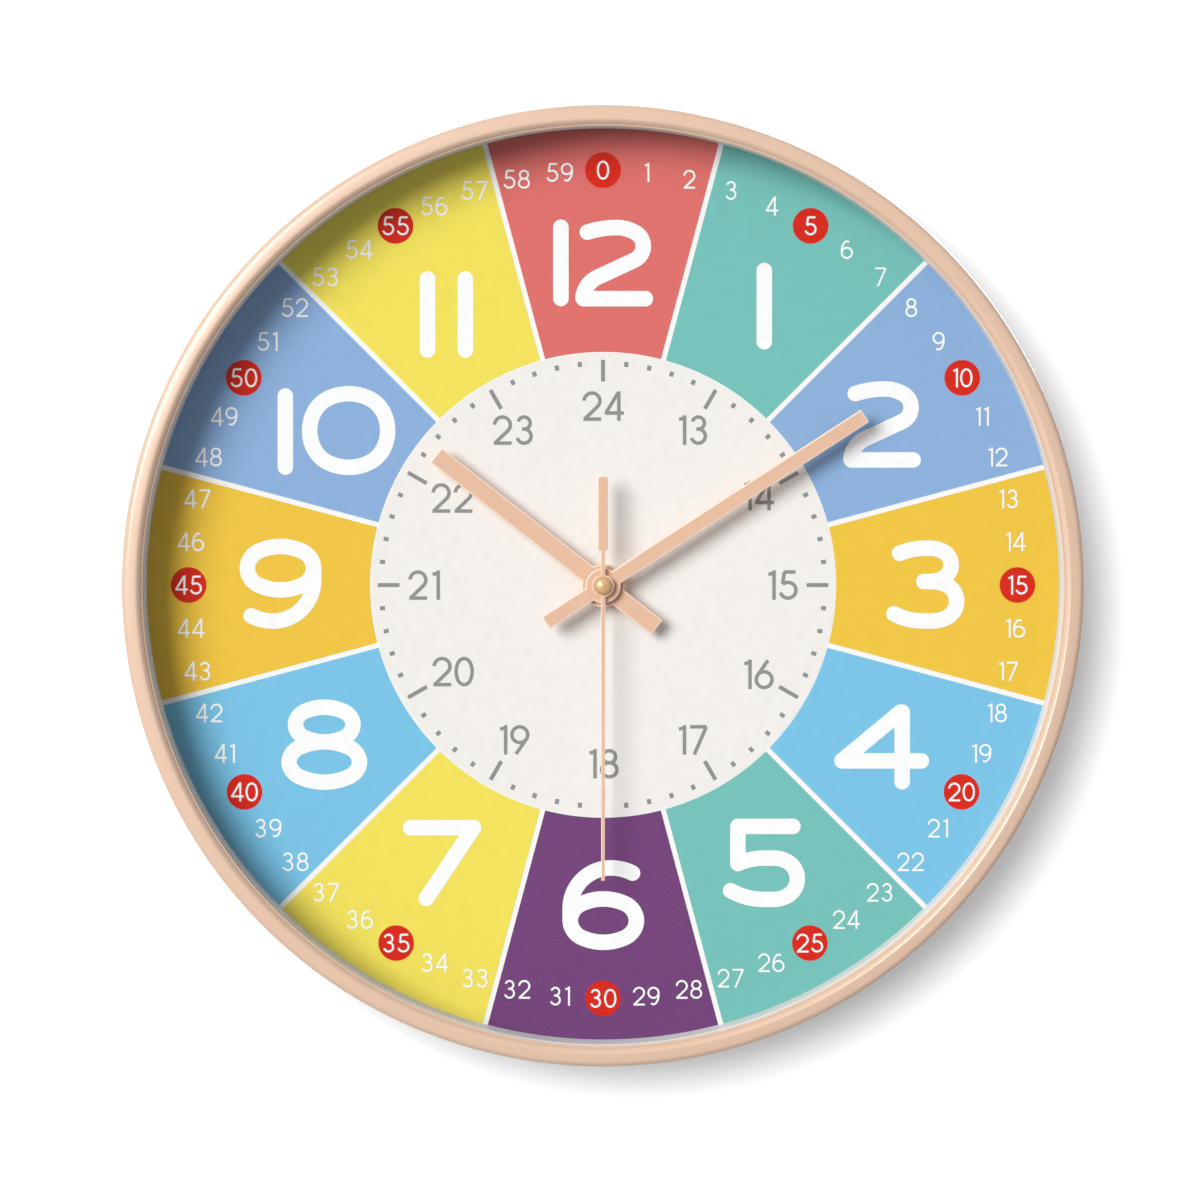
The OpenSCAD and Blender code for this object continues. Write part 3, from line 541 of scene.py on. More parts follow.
def revolve(corners: Sequence[Triple], steps: int) -> BMesh:
    """Turns a section round the axis of the hands.

    Args:
        corners: Radius, level and rounding radius of each corner of the closed section.
        steps: Faces round the circle.

    Returns:
        A closed mesh.
    """
    bm = bmesh.new()
    spots = [Vector((radius, 0, level)) for radius, level, _ in corners]
    verts = [bm.verts.new(spot) for spot in spots]
    bm.faces.new(verts)
    for index, (_, _, rounding) in enumerate(corners):
        if rounding:
            behind, ahead = spots[index - 1] - spots[index], spots[(index + 1) % len(spots)] - spots[index]
            reach = rounding / math.tan(behind.angle(ahead) / 2)
            bmesh.ops.bevel(bm, geom=[verts[index]], offset=reach, offset_type="OFFSET", segments=ROUND_STEPS,
                            profile=0.5, affect="VERTICES", material=-1)
    bmesh.ops.delete(bm, geom=bm.faces[:], context="FACES_ONLY")
    on_axis = [e for e in bm.edges if all(abs(v.co.x) < ON_AXIS for v in e.verts)]
    bmesh.ops.delete(bm, geom=on_axis, context="EDGES")
    bmesh.ops.spin(bm, geom=bm.verts[:] + bm.edges[:], cent=CENTRE, axis=AXIS, angle=math.tau, steps=steps,
                   use_merge=True)
    bmesh.ops.remove_doubles(bm, verts=bm.verts[:], dist=SEAM)
    bmesh.ops.recalc_face_normals(bm, faces=bm.faces[:])
    return bm


def bisect(bm: BMesh, spot: Vector, normal: Vector, clear: bool = False) -> None:
    """Cuts a mesh along a plane.

    Args:
        bm: The mesh.
        spot: A point of the plane.
        normal: Direction square to the plane.
        clear: Whether what lies behind the plane goes.
    """
    bmesh.ops.bisect_plane(bm, geom=bm.verts[:] + bm.edges[:] + bm.faces[:], dist=CUT, plane_co=spot,
                           plane_no=normal, clear_inner=clear)


def thicken(bm: BMesh, height: float) -> None:
    """Gives a flat outline its thickness, forwards from where it lies.

    Args:
        bm: The flat mesh.
        height: Its thickness.
    """
    grown = bmesh.ops.extrude_face_region(bm, geom=bm.faces[:])["geom"]
    bmesh.ops.translate(bm, vec=AXIS * height, verts=[g for g in grown if isinstance(g, BMVert)])
    bmesh.ops.recalc_face_normals(bm, faces=bm.faces[:])


def plate(width: float, length: float, middle: float = 0.0) -> BMesh:
    """A flat outline of four corners.

    Args:
        width: Its width across the radius.
        length: Its length along the radius.
        middle: Where its middle lies, up from the axis of the hands.

    Returns:
        The flat mesh.
    """
    bm = bmesh.new()
    size = Matrix.LocRotScale((0, middle, 0), None, (width, length, 1))
    bmesh.ops.create_grid(bm, x_segments=1, y_segments=1, size=0.5, matrix=size)
    return bm


def append(bm: BMesh, part: BMesh, place: Matrix) -> None:
    """Adds a placed copy of one mesh to another.

    Args:
        bm: The mesh that grows.
        part: The mesh to copy.
        place: Where the copy goes.
    """
    carrier = bpy.data.meshes.new("carrier")
    part.to_mesh(carrier)
    carrier.transform(place)
    bm.from_mesh(carrier)
    bpy.data.meshes.remove(carrier)


def spread(part: BMesh, places: Iterable[Matrix]) -> BMesh:
    """Repeats a mesh at several places.

    Args:
        part: The mesh to repeat, which is used up.
        places: Where the copies go.

    Returns:
        All the copies in one mesh.
    """
    bm = bmesh.new()
    for place in places:
        append(bm, part, place)
    part.free()
    return bm


def clockwise(turn: float, radius: float, level: float, upright: bool = True) -> Matrix:
    """A place on the dial.

    Args:
        turn: Degrees clockwise from twelve.
        radius: Distance from the axis of the hands.
        level: Height above the wall.
        upright: Whether what is placed there stays upright or turns with the dial.

    Returns:
        The matrix of the place.
    """
    swing = Matrix.Rotation(math.radians(-turn), 4, "Z")
    spot = swing @ Vector((0, radius, level))
    return Matrix.Translation(spot) @ (Matrix.Identity(4) if upright else swing)


# Numerals


@dataclass(frozen=True)
class Line:
    """A straight run of the pen."""

    length: float


@dataclass(frozen=True)
class Arc:
    """A curved run of the pen: its radius, and its turn in degrees, positive to the left."""

    radius: float
    turn: float


@dataclass(frozen=True)
class Stroke:
    """One run of the pen without lifting it."""

    start: Pair
    heading: float
    moves: tuple[Line | Arc, ...]
    closed: bool = False


@dataclass(frozen=True)
class Glyph:
    """A numeral: its width and its strokes."""

    width: float
    strokes: tuple[Stroke, ...]

    def half_turn(self, height: float) -> "Glyph":
        """The numeral turned upside down in a box of a given height."""
        return Glyph(self.width, tuple(
            Stroke((self.width - s.start[0], height - s.start[1]), s.heading + 180, s.moves, s.closed)
            for s in self.strokes))


def run(x: float, y: float, heading: float, *moves: Line | Arc) -> Stroke:
    """An open stroke from a point in a heading."""
    return Stroke((x, y), heading, moves)


def loop(x: float, y: float, half_w: float, half_h: float, corner: float) -> Stroke:
    """A closed, squarish oval of arcs.

    Args:
        x: Middle of the oval, across.
        y: Middle of the oval, up.
        half_w: Half of its width.
        half_h: Half of its height.
        corner: Radius of its corners.

    Returns:
        The stroke.
    """
    flat, bend = 25.0, 40.0
    sine, rise = math.sin(math.radians(flat)), 1 - math.cos(math.radians(flat))
    core = corner * (math.cos(math.radians(flat)) - sine)
    wide, high = half_w - core, half_h - core
    top = (wide * sine - high * rise) / (sine * sine - rise * rise)
    side = (high * sine - wide * rise) / (sine * sine - rise * rise)
    quarter = (Arc(top, -flat), Arc(corner, -bend), Arc(side, -flat))
    return Stroke((x, y + half_h), 0, (quarter + quarter[::-1]) * 2, True)


def bold_digits() -> dict[str, Glyph]:
    """The round-ended numerals of the hours, drawn about 88 units high.

    Returns:
        The numerals by character.
    """
    six = Glyph(83.5, (loop(42.1, 29.8, 33.25, 21.9, 20),
                       run(8.7, 29.8, 90, Line(12.2), Arc(41, -90), Arc(48, -27))))
    return {
        "0": Glyph(94.25, (loop(47.1, 44.75, 39.2, 37, 32),)),
        "1": Glyph(16, (run(8, 79.4, -90, Line(71.4)),)),
        "2": Glyph(77.75, (run(11.75, 74.5, 18, Arc(95, -18), Arc(38, -30), Arc(15.6, -125), Line(41),
                               Arc(25, 60)),
                           run(8, 7.8, 0, Line(62)))),
        "3": Glyph(80, (run(14.25, 76, 22, Arc(70, -22), Line(4), Arc(30, -25), Arc(15.4, -130), Arc(30, -25),
                            Line(5.8)),
                        run(38.75, 47.5, 0, Line(8), Arc(34, -25), Arc(18.37, -130), Arc(34, -25), Line(9),
                            Arc(62, -28)))),
        "4": Glyph(95.5, (run(68.25, 78, -90, Line(70.2)), run(66.5, 78, 219.7, Line(76)),
                          run(7.75, 28.9, 0, Line(79.9)))),
        "5": Glyph(83.75, (run(71.15, 81.45, 180, Line(55.4)), run(15.75, 81.45, -90, Line(37.5)),
                           run(16, 43.9, 25, Arc(60, -25), Line(10), Arc(30, -25), Arc(19.9, -130),
                               Arc(30, -25), Line(10), Arc(66, -30)))),
        "6": six,
        "7": Glyph(79, (run(7.8, 80.1, 0, Line(63.4)), run(71.2, 80.1, 236.3, Line(85.7)))),
        "8": Glyph(87, (loop(43.6, 65.5, 28.9, 17.5, 16), loop(43.6, 27.8, 35.5, 20.3, 19))),
        "9": six.half_turn(90.75),
    }


# Height of a slim numeral, in drawing units
SLIM_HEIGHT = 100


def slim_digits(hooked: bool) -> dict[str, Glyph]:
    """The slim numerals of the minutes and of the afternoon hours.

    Args:
        hooked: Whether six and nine end in a curl, and not in a straight arm.

    Returns:
        The numerals by character.
    """
    curl, arm = run(6.25, 34, 90, Line(14), Arc(60, -40), Arc(17, -95)), run(11, 47.8, 55.1, Line(61.2))
    six = Glyph(66, (loop(33, 32.5, 26.75, 26.75, 26.75), curl if hooked else arm))
    return {
        "0": Glyph(66, (loop(33, 50, 27.25, 44.25, 26),)),
        "1": Glyph(33, (run(27, 100, -90, Line(100)), run(8, 86, 15, Line(19)))),
        "2": Glyph(66, (run(6.47, 68.4, 88, Arc(26.75, -224), Line(59.5)), run(4, 5.75, 0, Line(60)))),
        "3": Glyph(66, (run(11.7, 79.05, 75, Arc(20.5, -255), Line(7)),
                        run(24.5, 53.25, 0, Line(7), Arc(23.75, -255)))),
        "4": Glyph(66, (run(49, 100, -90, Line(100)), run(46.5, 95, 238.9, Line(79.4)),
                        run(2, 26.5, 0, Line(64)))),
        "5": Glyph(66, (run(58, 94.25, 180, Line(39)), run(20, 95, 262, Line(41)),
                        run(14.3, 52.1, 43, Arc(26.75, -296)))),
        "6": six,
        "7": Glyph(66, (run(4, 94.25, 0, Line(56)), run(59, 94.25, 246.5, Line(102.8)))),
        "8": Glyph(66, (loop(33, 73.75, 21.5, 20.5, 19), loop(33, 29.5, 26, 23.75, 22))),
        "9": six.half_turn(SLIM_HEIGHT),
    }


@dataclass
class Pen:
    """Prints numerals as thin ribbons of ink.

    Attributes:
        unit: Length of a drawing unit.
        width: Width of the line, in drawing units.
        height: Height of a numeral, in drawing units.
        gap: Space between two digits, in drawing units.
        step: Degrees of curve to a face.
        lift: How much each further stroke of a numeral is raised over the one before.
        weld: Distance at which points of a stroke are one, in drawing units.
    """

    digits: dict[str, Glyph]
    unit: float
    width: float
    height: float
    gap: float
    cap: Cap
    step: float
    thickness: float = 0.06
    lift: float = 0.006
    weld: float = 0.01
    drawn: dict[str, BMesh] = field(default_factory=dict)

    def number(self, bm: BMesh, text: str, place: Matrix, gap: float | None = None) -> None:
        """Prints a number centred on a place.

        Args:
            bm: The mesh that takes the print.
            text: The number.
            place: The middle of the number.
            gap: Space between its digits in drawing units, where it isn't the usual one.
        """
        space = self.gap if gap is None else gap
        total = sum(self.digits[d].width for d in text) + space * (len(text) - 1)
        left = -total / 2
        for digit in text:
            if digit not in self.drawn:
                self.drawn[digit] = self.glyph(self.digits[digit])
            shift = Matrix.Translation(Vector((left, -self.height / 2, 0)) * self.unit)
            size = Matrix.Diagonal((self.unit, self.unit, 1, 1))
            append(bm, self.drawn[digit], place @ shift @ size)
            left += self.digits[digit].width + space

    def glyph(self, glyph: Glyph) -> BMesh:
        """Draws one numeral in drawing units.

        Args:
            glyph: The numeral.

        Returns:
            Its mesh.
        """
        bm = bmesh.new()
        for index, stroke in enumerate(glyph.strokes):
            ribbon = bmesh.new()
            self.draw(ribbon, stroke)
            bmesh.ops.remove_doubles(ribbon, verts=ribbon.verts[:], dist=self.weld)
            thicken(ribbon, self.thickness + index * self.lift)
            append(bm, ribbon, Matrix.Identity(4))
            ribbon.free()
        return bm

    def draw(self, bm: BMesh, stroke: Stroke) -> None:
        """Sweeps the pen's edge along a stroke.

        Args:
            bm: The mesh that takes the flat ribbon.
            stroke: The stroke.
        """
        spot, heading = Vector((*stroke.start, 0)), math.radians(stroke.heading)
        if not stroke.closed and self.cap is Cap.ROUND:
            self.round_end(bm, spot, heading + math.pi)
        edge = self.edge(bm, spot, heading)
        for move in stroke.moves:
            if isinstance(move, Line):
                ahead = Vector((math.cos(heading), math.sin(heading), 0)) * move.length
                sides = [e for e in edge if isinstance(e, BMEdge)]
                edge = bmesh.ops.extrude_edge_only(bm, edges=sides)["geom"]
                edge = [g for g in edge if not isinstance(g, BMFace)]
                moved = [g for g in edge if isinstance(g, BMVert)]
                bmesh.ops.translate(bm, vec=ahead, verts=moved)
                spot = spot + ahead
                continue
            turn, side = math.radians(move.turn), math.copysign(move.radius, move.turn)
            hub = spot + side * Vector((-math.sin(heading), math.cos(heading), 0))
            steps = math.ceil(abs(move.turn) / self.step)
            edge = bmesh.ops.spin(bm, geom=edge, cent=hub, axis=AXIS, angle=turn, steps=steps)["geom_last"]
            heading += turn
            spot = hub + side * Vector((math.sin(heading), -math.cos(heading), 0))
        if not stroke.closed and self.cap is Cap.ROUND:
            self.round_end(bm, spot, heading)

    def edge(self, bm: BMesh, spot: Vector,
             heading: float) -> list[BMVert | BMEdge]:
        """Puts the pen's edge down across a heading.

        Args:
            bm: The mesh.
            spot: Middle of the edge.
            heading: Heading in radians.

        Returns:
            The verts and edges of the pen's edge.
        """
        across = Vector((-math.sin(heading), math.cos(heading), 0)) * self.width / 2
        shares = (1, 0, -1) if self.cap is Cap.ROUND else (1, -1)
        verts = [bm.verts.new(spot + across * share) for share in shares]
        return verts + [bm.edges.new(pair) for pair in zip(verts, verts[1:])]

    def round_end(self, bm: BMesh, spot: Vector, heading: float) -> None:
        """Rounds the end of a line.

        Args:
            bm: The mesh.
            spot: Middle of the end.
            heading: Heading out of the line, in radians.
        """
        across = Vector((math.sin(heading), -math.cos(heading), 0)) * self.width / 2
        verts = [bm.verts.new(spot), bm.verts.new(spot + across)]
        half, steps = verts + [bm.edges.new(verts)], round(180 / self.step)
        bmesh.ops.spin(bm, geom=half, cent=spot, axis=AXIS, angle=math.pi, steps=steps)


# The case


@dataclass
class CaseRing:
    """The moulded frame with its screw lugs, the spacer ring and the lens.

    Attributes:
        ridge: Radius, level and rounding of the ring's highest corner.
        groove: The same of the corners of the fine groove inside it.
        rib: Inner and outer radius of the rib that centres the lens.
        spacer: Outer radius of the spacer ring, and its inner radius at the dial and at the lens.
        lug_laps: How far a lug lies inside the rib, and reaches into the wall and into the ring.
    """

    outer: float = 150.0
    skirt: float = 148.4
    lip: float = 143.4
    outer_front: float = 42.375
    outer_round: float = 2.2
    ridge: Triple = (145.4, 43.11, 1.2)
    groove: tuple[Triple, ...] = ((144.25, 42.05, 0.1), (144.1, 41.48, 0.06), (143.85, 41.58, 0.08))
    lip_front: float = 41.3
    rib: Pair = (144.8, 146.2)
    rib_back: float = 33.875
    edge_round: float = 0.3
    lip_round: float = 0.15
    spacer: Triple = (144.5, 142.95, 143.25)
    spacer_round: float = 0.2
    lug_half: float = 3.5
    lug_back: float = 22.675
    lug_laps: Triple = (0.1, 0.8, 0.5)
    lug_round: float = 0.4
    lugs: int = 6
    steps: int = 288

    def build(self, bench: Bench) -> None:
        """Makes the pieces of the case that show from the front.

        Args:
            bench: Where the pieces are finished.
        """
        bench.piece("frame_ring", self.ring(), ROSE_PLASTIC, Body.CASE, ["frame"])
        bench.piece("spacer_band", self.band(), PALE_PLASTIC, Body.CASE, ["spacer_ring"])
        bench.dress(CLEAR_GLASS, "lens")

    def ring(self) -> BMesh:
        """The frame, turned from its section, with the lugs inside its wall.

        Returns:
            The mesh.
        """
        low, high = self.rib
        bm = revolve([
            (self.outer, 0, self.edge_round), (self.outer, self.outer_front, self.outer_round), self.ridge,
            *self.groove, (self.lip, self.lip_front, self.lip_round), (self.lip, LENS_FRONT, self.lip_round),
            (low, LENS_FRONT, 0), (low, self.rib_back, self.edge_round),
            (high, self.rib_back, self.edge_round), (high, LENS_FRONT, 0),
            (self.skirt, LENS_FRONT, 0), (self.skirt, 0, self.edge_round)], self.steps)
        lug = self.lug()
        for index in range(self.lugs):
            append(bm, lug, Matrix.Rotation(math.tau * index / self.lugs, 4, "Z"))
        lug.free()
        return bm

    def lug(self) -> BMesh:
        """One screw lug at twelve, between the rib and the wall.

        Returns:
            The mesh.
        """
        inside, into_wall, into_ring = self.lug_laps
        low, high, front = self.rib[0] + inside, self.skirt + into_wall, LENS_FRONT + into_ring
        middle = (0, (low + high) / 2, (front + self.lug_back) / 2)
        size = (2 * self.lug_half, high - low, front - self.lug_back)
        bm = bmesh.new()
        bmesh.ops.create_cube(bm, size=1, matrix=Matrix.LocRotScale(middle, None, size))
        edges = [e for e in bm.edges if all(v.co.z < self.lug_back + self.lug_round for v in e.verts)]
        bmesh.ops.bevel(bm, geom=edges, offset=self.lug_round, segments=2, profile=0.5, affect="EDGES",
                        material=-1)
        return bm

    def band(self) -> BMesh:
        """The pale ring between the dial and the lens."""
        outer, foot, head = self.spacer
        return revolve([(foot, FACE, self.spacer_round), (outer, FACE, 0), (outer, LENS_BACK, 0),
                        (head, LENS_BACK, self.spacer_round)], self.steps)


# The dial


@dataclass
class Dial:
    """The printed card: coloured hour sectors, a pale middle, marks and numerals.

    Attributes:
        order: Inks of the sectors, clockwise from twelve.
        film: Thickness of a layer of ink.
        sunk: How deep a print reaches into what it lies on.
        hour_unit: Length of a drawing unit, of which 3.207 go to a millimetre.
        hour_nearer: Radius of the hours that stand nearer to the middle, and day_nearer in the afternoon.
        hour_gaps: Space between the digits of hours that don't have the usual one, in drawing units.
        tick: Inner radius, outer radius and width of an hour's bar.
        square: Radius, length and width of a minute's square.
    """

    order: tuple[Hue, ...] = (Hue.CORAL, Hue.TEAL, Hue.BLUE, Hue.AMBER, Hue.SKY, Hue.TEAL,
                              Hue.PURPLE, Hue.YELLOW, Hue.SKY, Hue.AMBER, Hue.BLUE, Hue.YELLOW)
    edge: float = 142.9
    inner: float = 73.05
    middle: float = 72.8
    hole: float = 6.7
    separator: float = 1.6
    film: float = 0.04
    sunk: float = 0.02
    hour_radius: float = 101.0
    hour_unit: float = 1 / 3.207
    hour_nearer: dict[int, float] = field(default_factory=lambda: {10: 96.4, 11: 98.0})
    hour_gaps: dict[int, float] = field(default_factory=lambda: {10: 8.5, 11: 22.0})
    day_radius: float = 56.1
    day_nearer: dict[int, float] = field(default_factory=lambda: {20: 54.3, 22: 54.6})
    day_height: float = 9.25
    minute_radius: float = 129.9
    minute_height: float = 6.0
    dot_radius: float = 5.6
    tick: Triple = (63.8, 70.6, 1.25)
    square: Triple = (69.5, 1.6, 1.3)
    sector_steps: int = 30
    disc_steps: int = 180
    dot_steps: int = 64
    crease: float = 20.0

    def build(self, bench: Bench) -> None:
        """Prints the dial.

        Args:
            bench: Where the pieces are finished.
        """
        bench.dress(DIAL_CARD, "dial_sheet")
        prints = []
        for hue in Hue:
            hours = [hour for hour, used in enumerate(self.order) if used is hue]
            prints.append((f"sector_{hue.name.lower()}", self.sectors(hours), hue.value))
        prints += [("dial_middle", self.middle_disc(), PALE_INK), ("hour_marks", self.hour_marks(), GREY_INK),
                   ("minute_marks", self.minute_marks(), GREY_INK), ("minute_dots", self.dots(), RED_INK),
                   ("hour_numerals", self.hours(), WHITE_INK),
                   ("afternoon_numerals", self.afternoon(), GREY_INK),
                   ("minute_numerals", self.minutes(), WHITE_INK)]
        for name, bm, finish in prints:
            bench.piece(name, bm, finish, Body.CASE, crease=self.crease)

    def sectors(self, hours: Sequence[int]) -> BMesh:
        """Sectors of one colour, parallel to the white lines between them.

        Args:
            hours: The hours whose sectors have this colour.

        Returns:
            The mesh.
        """
        half = math.radians(HOUR_TURN) / 2
        bm = bmesh.new()
        verts = [bm.verts.new((0, radius, 0)) for radius in (self.inner, self.edge)]
        start = verts + [bm.edges.new(verts)]
        bmesh.ops.rotate(bm, verts=verts, cent=CENTRE, matrix=Matrix.Rotation(-half, 3, "Z"))
        bmesh.ops.spin(bm, geom=start, cent=CENTRE, axis=AXIS, angle=2 * half, steps=self.sector_steps)
        for side in (-1, 1):
            inward = Vector((-side * math.cos(half), math.sin(half), 0))
            bisect(bm, inward * self.separator / 2, inward, clear=True)
        thicken(bm, self.film)
        return spread(bm, [clockwise(HOUR_TURN * hour, 0, FACE, upright=False) for hour in hours])

    def middle_disc(self) -> BMesh:
        """The pale disc in the middle of the dial."""
        low, high = FACE - self.sunk, FACE + self.film
        return revolve([(self.hole, low, 0), (self.middle, low, 0), (self.middle, high, 0),
                        (self.hole, high, 0)], self.disc_steps)

    def bars(self, width: float, length: float, radius: float, turns: Iterable[float]) -> BMesh:
        """Flat printed bars along the radius.

        Args:
            width: Width of a bar.
            length: Its length.
            radius: Where its middle lies.
            turns: Degrees clockwise from twelve of each bar.

        Returns:
            The mesh.
        """
        bm = plate(width, length)
        thicken(bm, 2 * self.film)
        return spread(bm, [clockwise(turn, radius, FACE, upright=False) for turn in turns])

    def hour_marks(self) -> BMesh:
        """The bars at the hours."""
        low, high, width = self.tick
        return self.bars(width, high - low, (low + high) / 2, [HOUR_TURN * hour for hour in range(12)])

    def minute_marks(self) -> BMesh:
        """The small squares at the other minutes."""
        radius, length, width = self.square
        return self.bars(width, length, radius, [MINUTE_TURN * minute for minute in range(60) if minute % 5])

    def dots(self) -> BMesh:
        """The red dots behind every fifth minute.

        Returns:
            The mesh.
        """
        bm = bmesh.new()
        bmesh.ops.create_circle(bm, cap_ends=True, radius=self.dot_radius, segments=self.dot_steps)
        thicken(bm, 2 * self.film)
        return spread(bm, [clockwise(HOUR_TURN * hour, self.minute_radius, FACE) for hour in range(12)])

    def hours(self) -> BMesh:
        """The large numerals from 1 to 12.

        Returns:
            The mesh.
        """
        pen = Pen(bold_digits(), unit=self.hour_unit, width=15.6, height=88, gap=6.75, cap=Cap.ROUND,
                  step=5.0)
        bm = bmesh.new()
        for hour in range(1, 13):
            radius = self.hour_nearer.get(hour, self.hour_radius)
            place = clockwise(HOUR_TURN * hour, radius, FACE + self.sunk)
            pen.number(bm, str(hour), place, self.hour_gaps.get(hour))
        return bm

    def afternoon(self) -> BMesh:
        """The slim numerals from 13 to 24.

        Returns:
            The mesh.
        """
        pen = Pen(slim_digits(hooked=False), unit=self.day_height / SLIM_HEIGHT, width=12, height=SLIM_HEIGHT,
                  gap=9, cap=Cap.SQUARE, step=10.0)
        bm = bmesh.new()
        for hour in range(13, 25):
            radius = self.day_nearer.get(hour, self.day_radius)
            pen.number(bm, str(hour), clockwise(HOUR_TURN * (hour - 12), radius, FACE + self.sunk))
        return bm

    def minutes(self) -> BMesh:
        """The small numerals from 0 to 59.

        Returns:
            The mesh.
        """
        pen = Pen(slim_digits(hooked=True), unit=self.minute_height / SLIM_HEIGHT, width=10.2,
                  height=SLIM_HEIGHT, gap=10, cap=Cap.SQUARE, step=15.0)
        level = FACE + 2 * self.film - self.sunk
        bm = bmesh.new()
        for minute in range(60):
            pen.number(bm, str(minute), clockwise(MINUTE_TURN * minute, self.minute_radius, level))
        return bm


# The hands


@dataclass
class Blade:
    """A stamped hand with a round hub, pressed a little proud along its middle.

    Attributes:
        turn: Degrees clockwise from twelve at rest.
        weight: Width and start of a counterweight on the tail, if it has one.
        proud: How much the middle is raised, as a share of the thickness.
        rim: Depth of the ring that holds the hub's outer edge and not its bore.
        facing: Least forward part of the normal of a face that counts as the front.
    """

    name: str
    body: Body
    turn: float
    length: float
    tail_length: float
    width: float
    tip_width: float
    hub_diameter: float
    bore_radius: float
    thickness: float
    edge_margin: float
    weight: Pair | None = None
    weight_corner: float = 0.9
    weight_lift: float = 0.02
    weight_overlap: float = 0.5
    proud: float = 0.16
    rim: float = 0.2
    facing: float = 0.9
    steps: int = 96
    crease: float = 8.0

    def build(self, bench: Bench) -> None:
        """Makes the hand where it points at rest.

        Args:
            bench: Where the piece is finished.
        """
        bm = self.sheet()
        if self.weight:
            bar = self.counterweight()
            append(bm, bar, Matrix.Identity(4))
            bar.free()
        bm.transform(clockwise(self.turn, 0, levels(self.name)[0], upright=False))
        # The second finish paints a highlight along the pressed edge of the blade
        bench.piece(f"{self.name}_blade", bm, ROSE_METAL, self.body, [self.name], self.crease,
                    ROSE_EDGE_HIGHLIGHT)

    def sheet(self) -> BMesh:
        """The blade, its hub and its tail in one sheet.

        Returns:
            The mesh, pointing to twelve.
        """
        bm = bmesh.new()
        for radius in (self.hub_diameter / 2, self.bore_radius):
            bmesh.ops.create_circle(bm, radius=radius, segments=self.steps)
        bmesh.ops.bridge_loops(bm, edges=bm.edges[:])
        for side in (-1, 1):
            bisect(bm, Vector((side * self.width / 2, 0, 0)), Vector((1, 0, 0)))
        end = self.tail_length if self.weight is None else self.weight[1] + self.weight_overlap
        self.reach(bm, 1, self.length, self.tip_width / self.width)
        self.reach(bm, -1, end, 1.0)
        self.join(bm)
        self.press(bm)
        return bm

    def reach(self, bm: BMesh, side: int, distance: float, taper: float) -> None:
        """Draws the hub's edge out to the tip or to the tail.

        Args:
            bm: The flat hub.
            side: 1 towards the tip, -1 towards the tail.
            distance: How far from the pivot.
            taper: Width at the end, as a share of the width at the hub.
        """
        half, inside = self.width / 2 + SEAM, self.hub_diameter / 2 - self.rim
        rim = [e for e in bm.edges if e.is_boundary and all(
            abs(v.co.x) <= half and v.co.y * side > 0 and v.co.xy.length > inside for v in e.verts)]
        drawn = bmesh.ops.extrude_edge_only(bm, edges=rim)["geom"]
        ends = [g for g in drawn if isinstance(g, BMVert)]
        bmesh.ops.scale(bm, vec=(taper, 0, 1), verts=ends, space=Matrix.Translation((0, -side * distance, 0)))

    def join(self, bm: BMesh) -> None:
        """Joins the faces of the flat outline, so that its edge presses evenly.

        Args:
            bm: The flat outline.
        """
        inner = [e for e in bm.edges if not e.is_boundary and any(abs(v.co.y) > SEAM for v in e.verts)]
        bmesh.ops.dissolve_edges(bm, edges=inner)
        bmesh.ops.dissolve_limit(bm, angle_limit=math.radians(FLAT), verts=bm.verts[:], edges=[])

    def press(self, bm: BMesh) -> None:
        """Gives a flat outline its thickness and its pressed edge, whose faces take a paler painted
        highlight.

        Args:
            bm: The flat outline.
        """
        rise = self.thickness * self.proud
        thicken(bm, self.thickness - rise)
        top = [f for f in bm.faces if f.normal.z > self.facing]
        rim = bmesh.ops.inset_region(bm, faces=top, thickness=self.edge_margin, use_even_offset=True,
                                     use_boundary=True)["faces"]
        bmesh.ops.translate(bm, vec=AXIS * rise, verts=list({v for f in top for v in f.verts}))
        for face in rim:
            # The edge faces take the paler second finish, a painted highlight along the blade's edge
            face.material_index = 1

    def counterweight(self) -> BMesh:
        """The bar at the end of the tail, its corners rounded.

        Returns:
            The mesh.
        """
        width, start = self.weight
        bm = plate(width, self.tail_length - start, -(self.tail_length + start) / 2)
        bmesh.ops.bevel(bm, geom=bm.verts[:], offset=self.weight_corner, segments=6, profile=0.5,
                        affect="VERTICES", material=-1)
        self.press(bm)
        bm.transform(Matrix.Translation(AXIS * self.weight_lift))
        return bm


@dataclass
class HandCap:
    """The brass cap on the pivot, a blunt cone over a narrow rim.

    Attributes:
        foot: Width of the slope under the rim, and its rounding.
        rim: Height of the rim, and its rounding.
        shoulder: Radius of the cone's bend, its depth below the top, and its rounding.
        flat: The same for the edge of the flat on top.
    """

    radius: float = 2.78
    foot: Pair = (0.3, 0.1)
    rim: Pair = (0.55, 0.35)
    shoulder: Triple = (1.9, 0.72, 1.4)
    flat: Triple = (0.45, 0.08, 0.5)
    steps: int = 96
    crease: float = 40.0

    def build(self, bench: Bench) -> None:
        """Makes the cap.

        Args:
            bench: Where the piece is finished.
        """
        low, top = levels("hand_cap")
        (foot, foot_round), (rim, rim_round) = self.foot, self.rim
        cone = [(radius, top - depth, rounding) for radius, depth, rounding in (self.shoulder, self.flat)]
        bm = revolve([(0, low, 0), (self.radius - foot, low, 0), (self.radius, low + foot, foot_round),
                      (self.radius, low + rim, rim_round), *cone, (0, top, 0)], self.steps)
        bench.piece("brass_cap", bm, CAP_BRASS, Body.SECOND, ["hand_cap"], self.crease)


